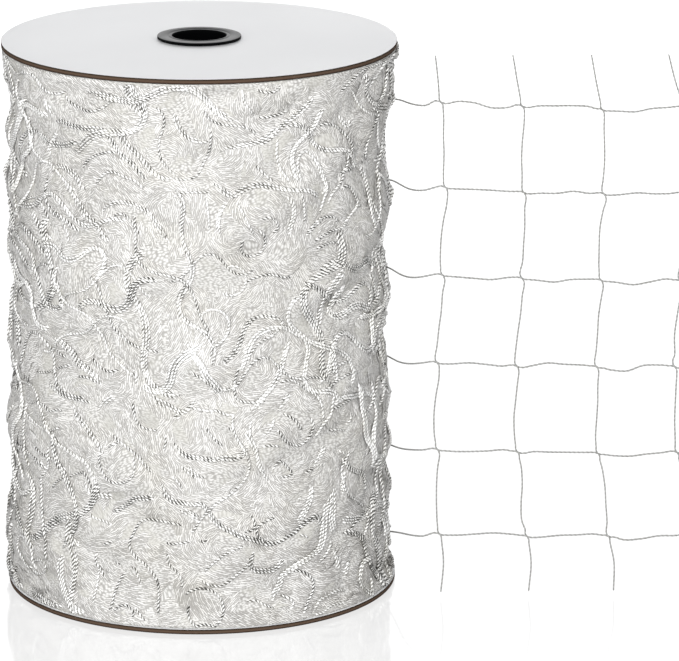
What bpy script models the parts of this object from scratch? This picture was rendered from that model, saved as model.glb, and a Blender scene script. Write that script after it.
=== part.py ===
"""Roll of trellis netting: a spool of two round boards on a plastic hub, wound full of
white twine net, with the net's end leaving the roll at its right side and standing spread.

Metres, +Z up. The spool stands on its lower board at z = 0. The origin is at the bottom
centre of the whole object's box, so the spool's own axis is at x = SPOOL_X.
"""

import math

import bmesh
import bpy
from mathutils import Vector

MM = 0.001

# The spool
FLANGE_R = 0.09525  # the two boards' radius
FLANGE_T = 0.0024  # thickness of a board
BOARD_HOLE_R = 0.0150  # hole in a board for the hub
EDGE_ROUND = 0.0003  # worn corners of a board
HEIGHT = 0.2700  # floor to the upper face of the upper board
GAP = 0.0003  # between touching pieces

# The hub
BORE_R = 0.0127
BARREL_R = 0.0147
LIP_R = 0.0202
LIP_T = 0.0014
LIP_CHAMFER = 0.0004
HUB_FOOT = 0.0004  # the hub's lower end stays this far above the floor

# The wound net
NET_R = 0.0925  # mean radius of the wound net
NET_MOST_R = FLANGE_R - 0.0002
NET_INNER_R = BARREL_R + GAP
NET_LOW = FLANGE_T + GAP
NET_HIGH = HEIGHT - FLANGE_T - GAP
TURN_STEPS = 72
HEIGHT_STEPS = 42
FLARE = 0.0022  # how far the net swells against both boards
FLARE_HEIGHT = 0.008

# The roll's two outlines as seen from the front, as a rise over NET_R at each swelling and
# hollow, from the lower board up.
OUTLINE_COLUMNS = ("height_mm", "rise_mm")
LEFT_OUTLINE = (
    (2.7, 2.6),
    (16, 3.0),
    (24, 5.0),
    (34, 4.0),
    (46, 1.5),
    (62, 1.0),
    (84, 3.6),
    (96, 1.6),
    (106, -1.8),
    (113, 1.2),
    (123, 2.5),
    (131, 0.6),
    (144, 0.4),
    (154, -2.0),
    (161, 0.2),
    (172, 1.5),
    (190, 0.0),
    (202, 2.5),
    (214, -1.0),
    (226, 2.0),
    (238, -1.5),
    (247, 0.0),
    (260, 2.3),
    (267.3, 2.6),
)
RIGHT_OUTLINE = (
    (2.7, 2.5),
    (8, -1.2),
    (18, 0.6),
    (28, 0.2),
    (34, -1.0),
    (46, 1.5),
    (58, -2.0),
    (70, 1.0),
    (82, -1.5),
    (92, -0.4),
    (112, -1.4),
    (124, -4.0),
    (131, -2.4),
    (148, -0.5),
    (160, -2.0),
    (172, -5.5),
    (179, -1.6),
    (190, 0.5),
    (202, -1.0),
    (214, -3.2),
    (226, -2.5),
    (244, 0.5),
    (256, 1.0),
    (267.3, 2.5),
)
OUTLINE_HALF_DEG = 24.0  # how far round the roll an outline's swellings reach

# The swellings and hollows of the net's folds elsewhere.
FOLD_COLUMNS = ("angle_deg", "height_mm", "half_deg", "half_mm", "rise_mm")
FOLDS = (
    (-90, 232, 26, 9, -1.6),
    (-74, 208, 22, 10, 1.6),
    (-112, 176, 24, 12, 1.8),
    (-58, 148, 24, 10, -2.0),
    (-96, 118, 28, 9, -1.8),
    (-64, 92, 24, 12, 1.8),
    (-118, 60, 26, 11, -1.8),
    (-86, 36, 26, 9, 1.6),
    (64, 226, 26, 11, 2.2),
    (112, 190, 28, 12, -2.4),
    (84, 152, 30, 12, 2.4),
    (58, 112, 26, 10, -2.6),
    (118, 84, 28, 12, 2.2),
    (90, 44, 28, 12, -2.2),
)

# The slanting waves that run round the roll: turns round it, height of one wave, size, start.
WAVE_COLUMNS = ("turns", "wave_mm", "rise_mm", "start_deg")
WAVES = (
    (3, 74, 1.1, 40),
    (-5, 53, 1.0, 150),
    (8, 38, 0.8, 265),
    (-11, 29, 0.6, 20),
)

# The spread end of the net
TWINE_W = 0.0014  # twine seen face on
TWINE_T = 0.0012  # twine through the net
NET_PLANE_Y = -0.040
NET_REACH = 0.2420  # from the spool's axis to the net's cut edge
NET_TOP = 0.2695
NET_BOTTOM = 0.0022
LEAVE_DEG = 2.0  # where the rows leave the roll
LEAVE_GAP = 0.0014  # from the roll's surface to the middle of the twine
BEND_X = 0.1120  # where the rows have reached the net's plane

# One row of the net a line, from the top: height where it leaves the roll, height and place
# of its first knot, mesh width, and how far it falls over each mesh.
ROW_COLUMNS = ("leave_mm", "height_mm", "first_mm", "mesh_mm", "fall_mm")
ROWS = (
    (238.9, 246.6, 115.6, 38.2, 2.3),
    (198.4, 204.8, 117.0, 38.2, 1.8),
    (154.7, 161.5, 116.6, 37.9, 1.4),
    (110.6, 118.5, 113.7, 38.2, 1.6),
    (65.8, 74.3, 114.8, 38.6, 0.8),
    (21.0, 31.5, 117.0, 40.4, 1.0),
)
# The columns' cut ends, from the roll outwards.
END_COLUMNS = ("top_mm", "bottom_mm")
ENDS = (
    (111.8, 116.2),
    (148.6, 159.1),
    (185.9, 200.6),
    (222.6, 238.8),
)
BOW = 0.0011  # how far a side of a mesh bows

SPOOL_X = -(NET_REACH - FLANGE_R) / 2


def clear_scene():
    for obj in list(bpy.data.objects):
        bpy.data.objects.remove(obj, do_unlink=True)


def collection(name):
    found = bpy.data.collections.new(name)
    bpy.context.scene.collection.children.link(found)
    return found


def material(name, colour, roughness, metallic=0.0):
    made = bpy.data.materials.new(name)
    made.use_nodes = True
    shader = made.node_tree.nodes["Principled BSDF"]
    shader.inputs["Base Color"].default_value = (*colour, 1.0)
    shader.inputs["Roughness"].default_value = roughness
    shader.inputs["Metallic"].default_value = metallic
    return made


def add_object(name, mesh, parts, finish):
    obj = bpy.data.objects.new(name, mesh)
    parts.objects.link(obj)
    obj.data.materials.append(finish)
    return obj


def smooth(obj, angle_deg=35):
    obj.data.shade_smooth()
    obj.data.set_sharp_from_angle(angle=math.radians(angle_deg))


def turned(name, profile, steps, parts, finish):
    """A closed profile of (radius, height), running down its outer side, turned about Z."""
    mesh = bpy.data.meshes.new(name)
    count = len(profile)
    mesh.from_pydata(
        [(r, 0.0, z) for r, z in profile],
        [(i, (i + 1) % count) for i in range(count)],
        [],
    )
    obj = add_object(name, mesh, parts, finish)
    screw = obj.modifiers.new("turn", "SCREW")
    screw.axis = "Z"
    screw.angle = math.tau
    screw.steps = screw.render_steps = steps
    screw.use_merge_vertices = True
    screw.merge_threshold = 0.00001
    screw.use_smooth_shade = True
    return obj


def applied(obj):
    """The object with its modifiers made into its mesh."""
    bpy.context.view_layer.update()
    evaluated = obj.evaluated_get(bpy.context.evaluated_depsgraph_get())
    mesh = bpy.data.meshes.new_from_object(evaluated)
    obj.modifiers.clear()
    old, obj.data = obj.data, mesh
    mesh.name = obj.name
    bpy.data.meshes.remove(old)
    return obj


def disc_profile(outer, inner, low, high, rounding):
    return [
        (outer - rounding, high),
        (outer, high - rounding),
        (outer, low + rounding),
        (outer - rounding, low),
        (inner, low),
        (inner, high),
    ]


def hub_profile():
    lip_low, lip_high = HEIGHT + GAP, HEIGHT + GAP + LIP_T
    return [
        (LIP_R - LIP_CHAMFER, lip_high),
        (LIP_R, lip_high - LIP_CHAMFER),
        (LIP_R, lip_low),
        (BARREL_R, lip_low),
        (BARREL_R, HUB_FOOT),
        (BORE_R, HUB_FOOT),
        (BORE_R, lip_high - 2 * LIP_CHAMFER),
        (BORE_R + 2 * LIP_CHAMFER, lip_high),
    ]


def named(table, columns):
    return [dict(zip(columns, line)) for line in table]


def wrapped(angle_deg):
    return (angle_deg + 180.0) % 360.0 - 180.0


def outline_rise(outline, z):
    """The rise of an outline at this height, run smoothly from one of its lines to the next."""
    lines = named(outline, OUTLINE_COLUMNS)
    for low, high in zip(lines, lines[1:]):
        if z <= high["height_mm"] * MM:
            break
    span = (high["height_mm"] - low["height_mm"]) * MM
    share = min(max((z - low["height_mm"] * MM) / span, 0.0), 1.0)
    share = (1.0 - math.cos(math.pi * share)) / 2.0
    return (low["rise_mm"] * (1.0 - share) + high["rise_mm"] * share) * MM


def roll_radius(angle_deg, z):
    """The wound net's outer radius at this angle from +X and this height."""
    flare = math.exp(-(NET_HIGH - z) / FLARE_HEIGHT) + math.exp((NET_LOW - z) / FLARE_HEIGHT)
    rise = FLARE * flare
    for fold in named(FOLDS, FOLD_COLUMNS):
        across = wrapped(angle_deg - fold["angle_deg"]) / fold["half_deg"]
        along = (z - fold["height_mm"] * MM) / (fold["half_mm"] * MM)
        rise += fold["rise_mm"] * MM * math.exp(-across * across - along * along)
    for wave in named(WAVES, WAVE_COLUMNS):
        phase = (
            wave["turns"] * math.radians(angle_deg)
            + math.tau * z / (wave["wave_mm"] * MM)
            + math.radians(wave["start_deg"])
        )
        rise += wave["rise_mm"] * MM * math.sin(phase)
    for outline, side_deg in ((RIGHT_OUTLINE, 0.0), (LEFT_OUTLINE, 180.0)):
        share = math.exp(-((wrapped(angle_deg - side_deg) / OUTLINE_HALF_DEG) ** 2))
        rise = rise * (1.0 - share) + outline_rise(outline, z) * share
    return min(NET_R + rise, NET_MOST_R)


def make_roll(parts, finish):
    """The wound net: a turned ring whose outer side follows the folds."""
    outer = [
        (NET_R, NET_HIGH + (NET_LOW - NET_HIGH) * i / HEIGHT_STEPS)
        for i in range(HEIGHT_STEPS + 1)
    ]
    profile = outer + [(NET_INNER_R, NET_LOW), (NET_INNER_R, NET_HIGH)]
    obj = applied(turned("net_roll", profile, TURN_STEPS, parts, finish))
    for vertex in obj.data.vertices:
        x, y, z = vertex.co
        if math.hypot(x, y) < (NET_R + NET_INNER_R) / 2:
            continue
        angle = math.atan2(y, x)
        r = roll_radius(math.degrees(angle), z)
        vertex.co = (r * math.cos(angle), r * math.sin(angle), z)
    smooth(obj, 50)
    return obj


def bezier(a, b, c, d, t):
    s = 1.0 - t
    return a * s**3 + 3 * b * s * s * t + 3 * c * s * t * t + d * t**3


def leaving_path(z, t):
    """Where a row of the net is between the roll, t = 0, and the net's plane, t = 1."""
    angle = math.radians(LEAVE_DEG)
    r = roll_radius(LEAVE_DEG, z) + LEAVE_GAP
    start = Vector((r * math.cos(angle), r * math.sin(angle)))
    end = Vector((BEND_X, NET_PLANE_Y))
    return bezier(
        start,
        start + Vector((0.0045, -0.0150)),
        Vector((0.0990, NET_PLANE_Y)),
        end,
        t,
    )


def grid_lines(spans, first_part, last_part):
    """Lines across a lattice, as (strand, share of the way to the next one, side of the twine).

    Each strand has a line on both of its sides, and between two strands there are spans lines.
    Before the first strand there are first_part lines and after the last one last_part lines.
    """
    lines = []
    count = len(spans) + 1
    for i in range(first_part):
        lines.append((-1, i / first_part, 0))
    for k in range(count):
        lines += [(k, 0.0, -1), (k, 0.0, 1)]
        if k < count - 1:
            lines += [(k, (i + 1) / (spans[k] + 1), 0) for i in range(spans[k])]
    for i in range(last_part):
        lines.append((count - 1, (i + 1) / last_part, 0))
    return lines


def net_point(column, across, row, down):
    """The middle of the twine in the net's plane: x from the spool's axis and height.

    column and row are the strands before the point, -1 before the first, and across and down
    are the shares of the way to the next strand or to the cut edge.
    """
    rows, ends = named(ROWS, ROW_COLUMNS), named(ENDS, END_COLUMNS)

    def knot(c, r):
        line = rows[r]
        return Vector(
            (
                (line["first_mm"] + c * line["mesh_mm"]) * MM,
                (line["height_mm"] - c * line["fall_mm"]) * MM,
            )
        )

    def at_column(c):
        if row < 0:
            top = Vector((ends[c]["top_mm"] * MM, NET_TOP))
            return top.lerp(knot(c, 0), down)
        if row == len(rows) - 1 and down > 0:
            bottom = Vector((ends[c]["bottom_mm"] * MM, NET_BOTTOM))
            return knot(c, row).lerp(bottom, down)
        if down > 0:
            return knot(c, row).lerp(knot(c, row + 1), down)
        return knot(c, row)

    if column == len(ENDS) - 1 and across > 0:
        last = at_column(column)
        return last.lerp(Vector((NET_REACH, last.y)), across)
    here = at_column(column)
    if across > 0:
        here = here.lerp(at_column(column + 1), across)
    return here


def make_loose_end(parts, finish):
    """The spread net: a grid bent to the net's knots, with its meshes opened, made solid."""
    across = grid_lines((3, 3, 3), 7, 1)
    down = grid_lines((3, 3, 3, 3, 3), 2, 2)
    bm = bmesh.new()
    bmesh.ops.create_grid(
        bm, x_segments=len(across) - 1, y_segments=len(down) - 1, size=1.0
    )
    spread = {}
    for vertex in bm.verts:
        i = round((vertex.co.x + 1) / 2 * (len(across) - 1))
        j = round((1 - vertex.co.y) / 2 * (len(down) - 1))
        spread[vertex] = (i, j)
    strand = {}
    for face in bm.faces:
        i = min(spread[v][0] for v in face.verts)
        j = min(spread[v][1] for v in face.verts)
        in_column = across[i][2] == -1
        in_row = down[j][2] == -1
        strand[face] = in_column or in_row
    for vertex, (i, j) in spread.items():
        column, share_x, side_x = across[i]
        row, share_z, side_z = down[j]
        half = TWINE_W / 2
        if column < 0:
            line = named(ROWS, ROW_COLUMNS)[min(max(row, 0), len(ROWS) - 1)]
            first = net_point(0, 0.0, row, share_z)
            z = (line["leave_mm"] * MM) * (1 - share_x) + first.y * share_x
            last_bend = (len([a for a in across if a[0] < 0]) - 1) / len(
                [a for a in across if a[0] < 0]
            )
            flat = leaving_path(line["leave_mm"] * MM, share_x / last_bend)
            x, y = flat
        else:
            middle = net_point(column, share_x, row, share_z)
            bow = BOW * (1 if (row + column) % 2 else -1)
            x = middle.x + side_x * half + bow * math.sin(math.pi * share_z)
            y = NET_PLANE_Y
            z = middle.y
            if 0 <= column < len(ENDS) - 1:
                z += BOW * math.sin(math.tau * share_x)
        vertex.co = (x, y, z - side_z * half)
    bmesh.ops.delete(
        bm, geom=[f for f in bm.faces if not strand[f]], context="FACES"
    )
    bmesh.ops.recalc_face_normals(bm, faces=bm.faces)
    mesh = bpy.data.meshes.new("loose_end")
    bm.to_mesh(mesh)
    bm.free()
    obj = add_object("loose_end", mesh, parts, finish)
    solid = obj.modifiers.new("thickness", "SOLIDIFY")
    solid.thickness = TWINE_T
    solid.offset = 0.0
    solid.use_even_offset = True
    solid.use_rim = True
    return obj


def main():
    clear_scene()
    parts = collection("trellis_net_roll")
    board = material("white_board", (0.86, 0.86, 0.87), 0.55)
    plastic = material("black_plastic", (0.015, 0.016, 0.019), 0.35)
    netting = material("white_twine", (0.82, 0.82, 0.80), 0.45)

    spool = bpy.data.objects.new("spool", None)
    spool.location = (SPOOL_X, 0.0, 0.0)
    parts.objects.link(spool)

    top = turned(
        "flange_top",
        disc_profile(FLANGE_R, BOARD_HOLE_R, 0.0, FLANGE_T, EDGE_ROUND),
        72,
        parts,
        board,
    )
    top.location.z = HEIGHT - FLANGE_T
    bottom = turned(
        "flange_bottom",
        disc_profile(FLANGE_R, BOARD_HOLE_R, 0.0, FLANGE_T, EDGE_ROUND),
        72,
        parts,
        board,
    )
    hub = turned("hub", hub_profile(), 48, parts, plastic)
    roll = make_roll(parts, netting)
    loose = make_loose_end(parts, netting)
    for obj in (top, bottom, hub, roll, loose):
        obj.parent = spool


main()
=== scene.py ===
import math

import bpy
import numpy as np
from mathutils import Matrix, Vector


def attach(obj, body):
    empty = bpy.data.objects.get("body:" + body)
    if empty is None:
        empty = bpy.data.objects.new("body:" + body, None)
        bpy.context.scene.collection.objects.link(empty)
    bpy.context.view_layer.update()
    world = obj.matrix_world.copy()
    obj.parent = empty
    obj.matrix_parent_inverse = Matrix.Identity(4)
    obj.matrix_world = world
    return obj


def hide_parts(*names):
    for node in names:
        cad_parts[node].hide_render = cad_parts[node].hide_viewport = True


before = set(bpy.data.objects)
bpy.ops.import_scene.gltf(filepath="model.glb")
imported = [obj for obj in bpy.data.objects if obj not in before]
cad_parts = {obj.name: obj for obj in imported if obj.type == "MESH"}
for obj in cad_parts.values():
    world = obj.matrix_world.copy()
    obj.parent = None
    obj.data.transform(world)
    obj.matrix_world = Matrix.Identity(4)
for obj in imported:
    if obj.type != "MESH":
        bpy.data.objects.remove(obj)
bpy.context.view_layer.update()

MM = 0.001
TAU = math.tau

# ---------------------------------------------------------------- sizes, as in the CAD
FLANGE_R = 0.09525
FLANGE_T = 0.0024
BOARD_HOLE_R = 0.0150
HEIGHT = 0.2700
GAP = 0.0003
BORE_R = 0.0127
BARREL_R = 0.0147
LIP_R = 0.0202
LIP_T = 0.0014
HUB_FOOT = 0.0004
NET_R = 0.0925
NET_MOST_R = FLANGE_R - 0.0002
NET_LOW = FLANGE_T + GAP
NET_HIGH = HEIGHT - FLANGE_T - GAP
FLARE, FLARE_HEIGHT = 0.0022, 0.008
NET_PLANE_Y = -0.040
NET_REACH = 0.2420
NET_TOP, NET_BOTTOM = 0.2695, 0.0022
LEAVE_DEG, BEND_X = 2.0, 0.1120
SPOOL_X = -(NET_REACH - FLANGE_R) / 2

# the two outlines: height_mm, rise_mm
LEFT_OUTLINE = np.array((
    (2.7, 2.6), (16, 3.0), (24, 5.0), (34, 4.0), (46, 1.5), (62, 1.0), (84, 3.6), (96, 1.6), (106, -1.8), (113, 1.2),
    (123, 2.5), (131, 0.6), (144, 0.4), (154, -2.0), (161, 0.2), (172, 1.5), (190, 0.0), (202, 2.5), (214, -1.0),
    (226, 2.0), (238, -1.5), (247, 0.0), (260, 2.3), (267.3, 2.6),
), float)
RIGHT_OUTLINE = np.array((
    (2.7, 2.5), (8, -1.2), (18, 0.6), (28, 0.2), (34, -1.0), (46, 1.5), (58, -2.0), (70, 1.0), (82, -1.5), (92, -0.4),
    (112, -1.4), (124, -4.0), (131, -2.4), (148, -0.5), (160, -2.0), (172, -5.5), (179, -1.6), (190, 0.5), (202, -1.0),
    (214, -3.2), (226, -2.5), (244, 0.5), (256, 1.0), (267.3, 2.5),
), float)
OUTLINE_HALF_DEG = 24.0
# angle_deg, height_mm, half_deg, half_mm, rise_mm
FOLDS = np.array((
    (-90, 232, 26, 9, -1.6), (-74, 208, 22, 10, 1.6), (-112, 176, 24, 12, 1.8), (-58, 148, 24, 10, -2.0),
    (-96, 118, 28, 9, -1.8), (-64, 92, 24, 12, 1.8), (-118, 60, 26, 11, -1.8), (-86, 36, 26, 9, 1.6),
    (64, 226, 26, 11, 2.2), (112, 190, 28, 12, -2.4), (84, 152, 30, 12, 2.4), (58, 112, 26, 10, -2.6),
    (118, 84, 28, 12, 2.2), (90, 44, 28, 12, -2.2),
), float)
# turns, wave_mm, rise_mm, start_deg
WAVES = ((3, 74, 1.1, 40), (-5, 53, 1.0, 150), (8, 38, 0.8, 265), (-11, 29, 0.6, 20))
# leave_mm, height_mm, first_mm, mesh_mm, fall_mm
ROWS = (
    (238.9, 246.6, 115.6, 38.2, 2.3), (198.4, 204.8, 117.0, 38.2, 1.8), (154.7, 161.5, 116.6, 37.9, 1.4),
    (110.6, 118.5, 113.7, 38.2, 1.6), (65.8, 74.3, 114.8, 38.6, 0.8), (21.0, 31.5, 117.0, 40.4, 1.0),
)
# top_mm, bottom_mm
ENDS = ((111.8, 116.2), (148.6, 159.1), (185.9, 200.6), (222.6, 238.8))

# how far each row stands over, and each upright to the right of, straight lines between the knots, at every fifth of a mesh: mm
ROW_RISES = (
    (0.2, 1.0, 0.6, -1.2, -0.6, 0.4, 1.0, 1.5, 1.9, 1.8, 0.8, 0.5, 0.7, 2.5, 3.5, 3.9),
    (0.4, 0.0, 0.0, -0.2, -0.1, -0.5, -0.5, 0.0, 1.2, 0.6, 0.4, 0.4, 1.7, 1.4, 1.8, 2.2),
    (0.5, 0.1, -0.6, -1.0, 0.2, 0.1, -0.5, -1.2, 0.3, 0.7, 0.3, -0.7, -1.3, 0.1, 1.7, 1.2),
    (0.0, -0.3, 0.4, 0.0, -0.4, -0.4, 0.1, 1.5, 1.6, 1.2, 0.6, -0.7, -0.8, 1.7, 2.5, 2.0),
    (0.6, -0.3, -0.3, 0.2, 0.8, -0.1, 0.2, -0.1, -0.2, 0.2, -0.3, -1.4, -1.4, -0.4, 0.7, 0.8),
    (0.6, 0.2, 0.7, 1.3, 1.4, 0.1, 0.0, 0.7, 1.6, 1.9, 0.9, -0.9, -0.4, 1.3, 1.8, 2.0),
)
UPRIGHT_SHIFTS = (
    (-0.9, 0.1, -0.2, -0.2, -0.7, 0.1, 0.7, -0.9, -1.7, -1.9, -0.6, 0.0, 0.0, -0.4, -0.7, 0.0, 0.5, -1.1, -2.1, -2.1, -0.7, -1.0, -1.9, -2.4, -2.5, -1.6),
    (-0.4, 0.1, -0.8, -1.4, -1.3, -0.6, 0.1, 0.2, -0.1, -0.3, -0.3, 0.4, 0.2, -0.4, -0.8, 0.2, 0.4, -0.8, -1.8, -1.8, -0.5, 0.7, 0.4, -0.9, -1.3, 0.6),
    (-0.5, 0.2, 0.2, 0.1, -0.8, -0.5, -0.8, -1.8, -1.9, -1.6, -0.2, 0.3, -0.2, -0.2, -0.2, 0.6, 0.9, 0.5, -0.1, -0.9, 0.0, 1.1, 1.3, 0.7, 0.2, -0.2),
    (0.0, 0.4, -0.3, -0.9, -0.6, 0.1, 0.6, 0.9, 0.2, -0.5, 0.0, 0.3, -0.6, -1.1, -0.4, 0.2, 0.5, -0.2, -0.8, -0.9, -0.2, 0.6, 0.8, 0.1, -0.6, 0.0),
)

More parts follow.
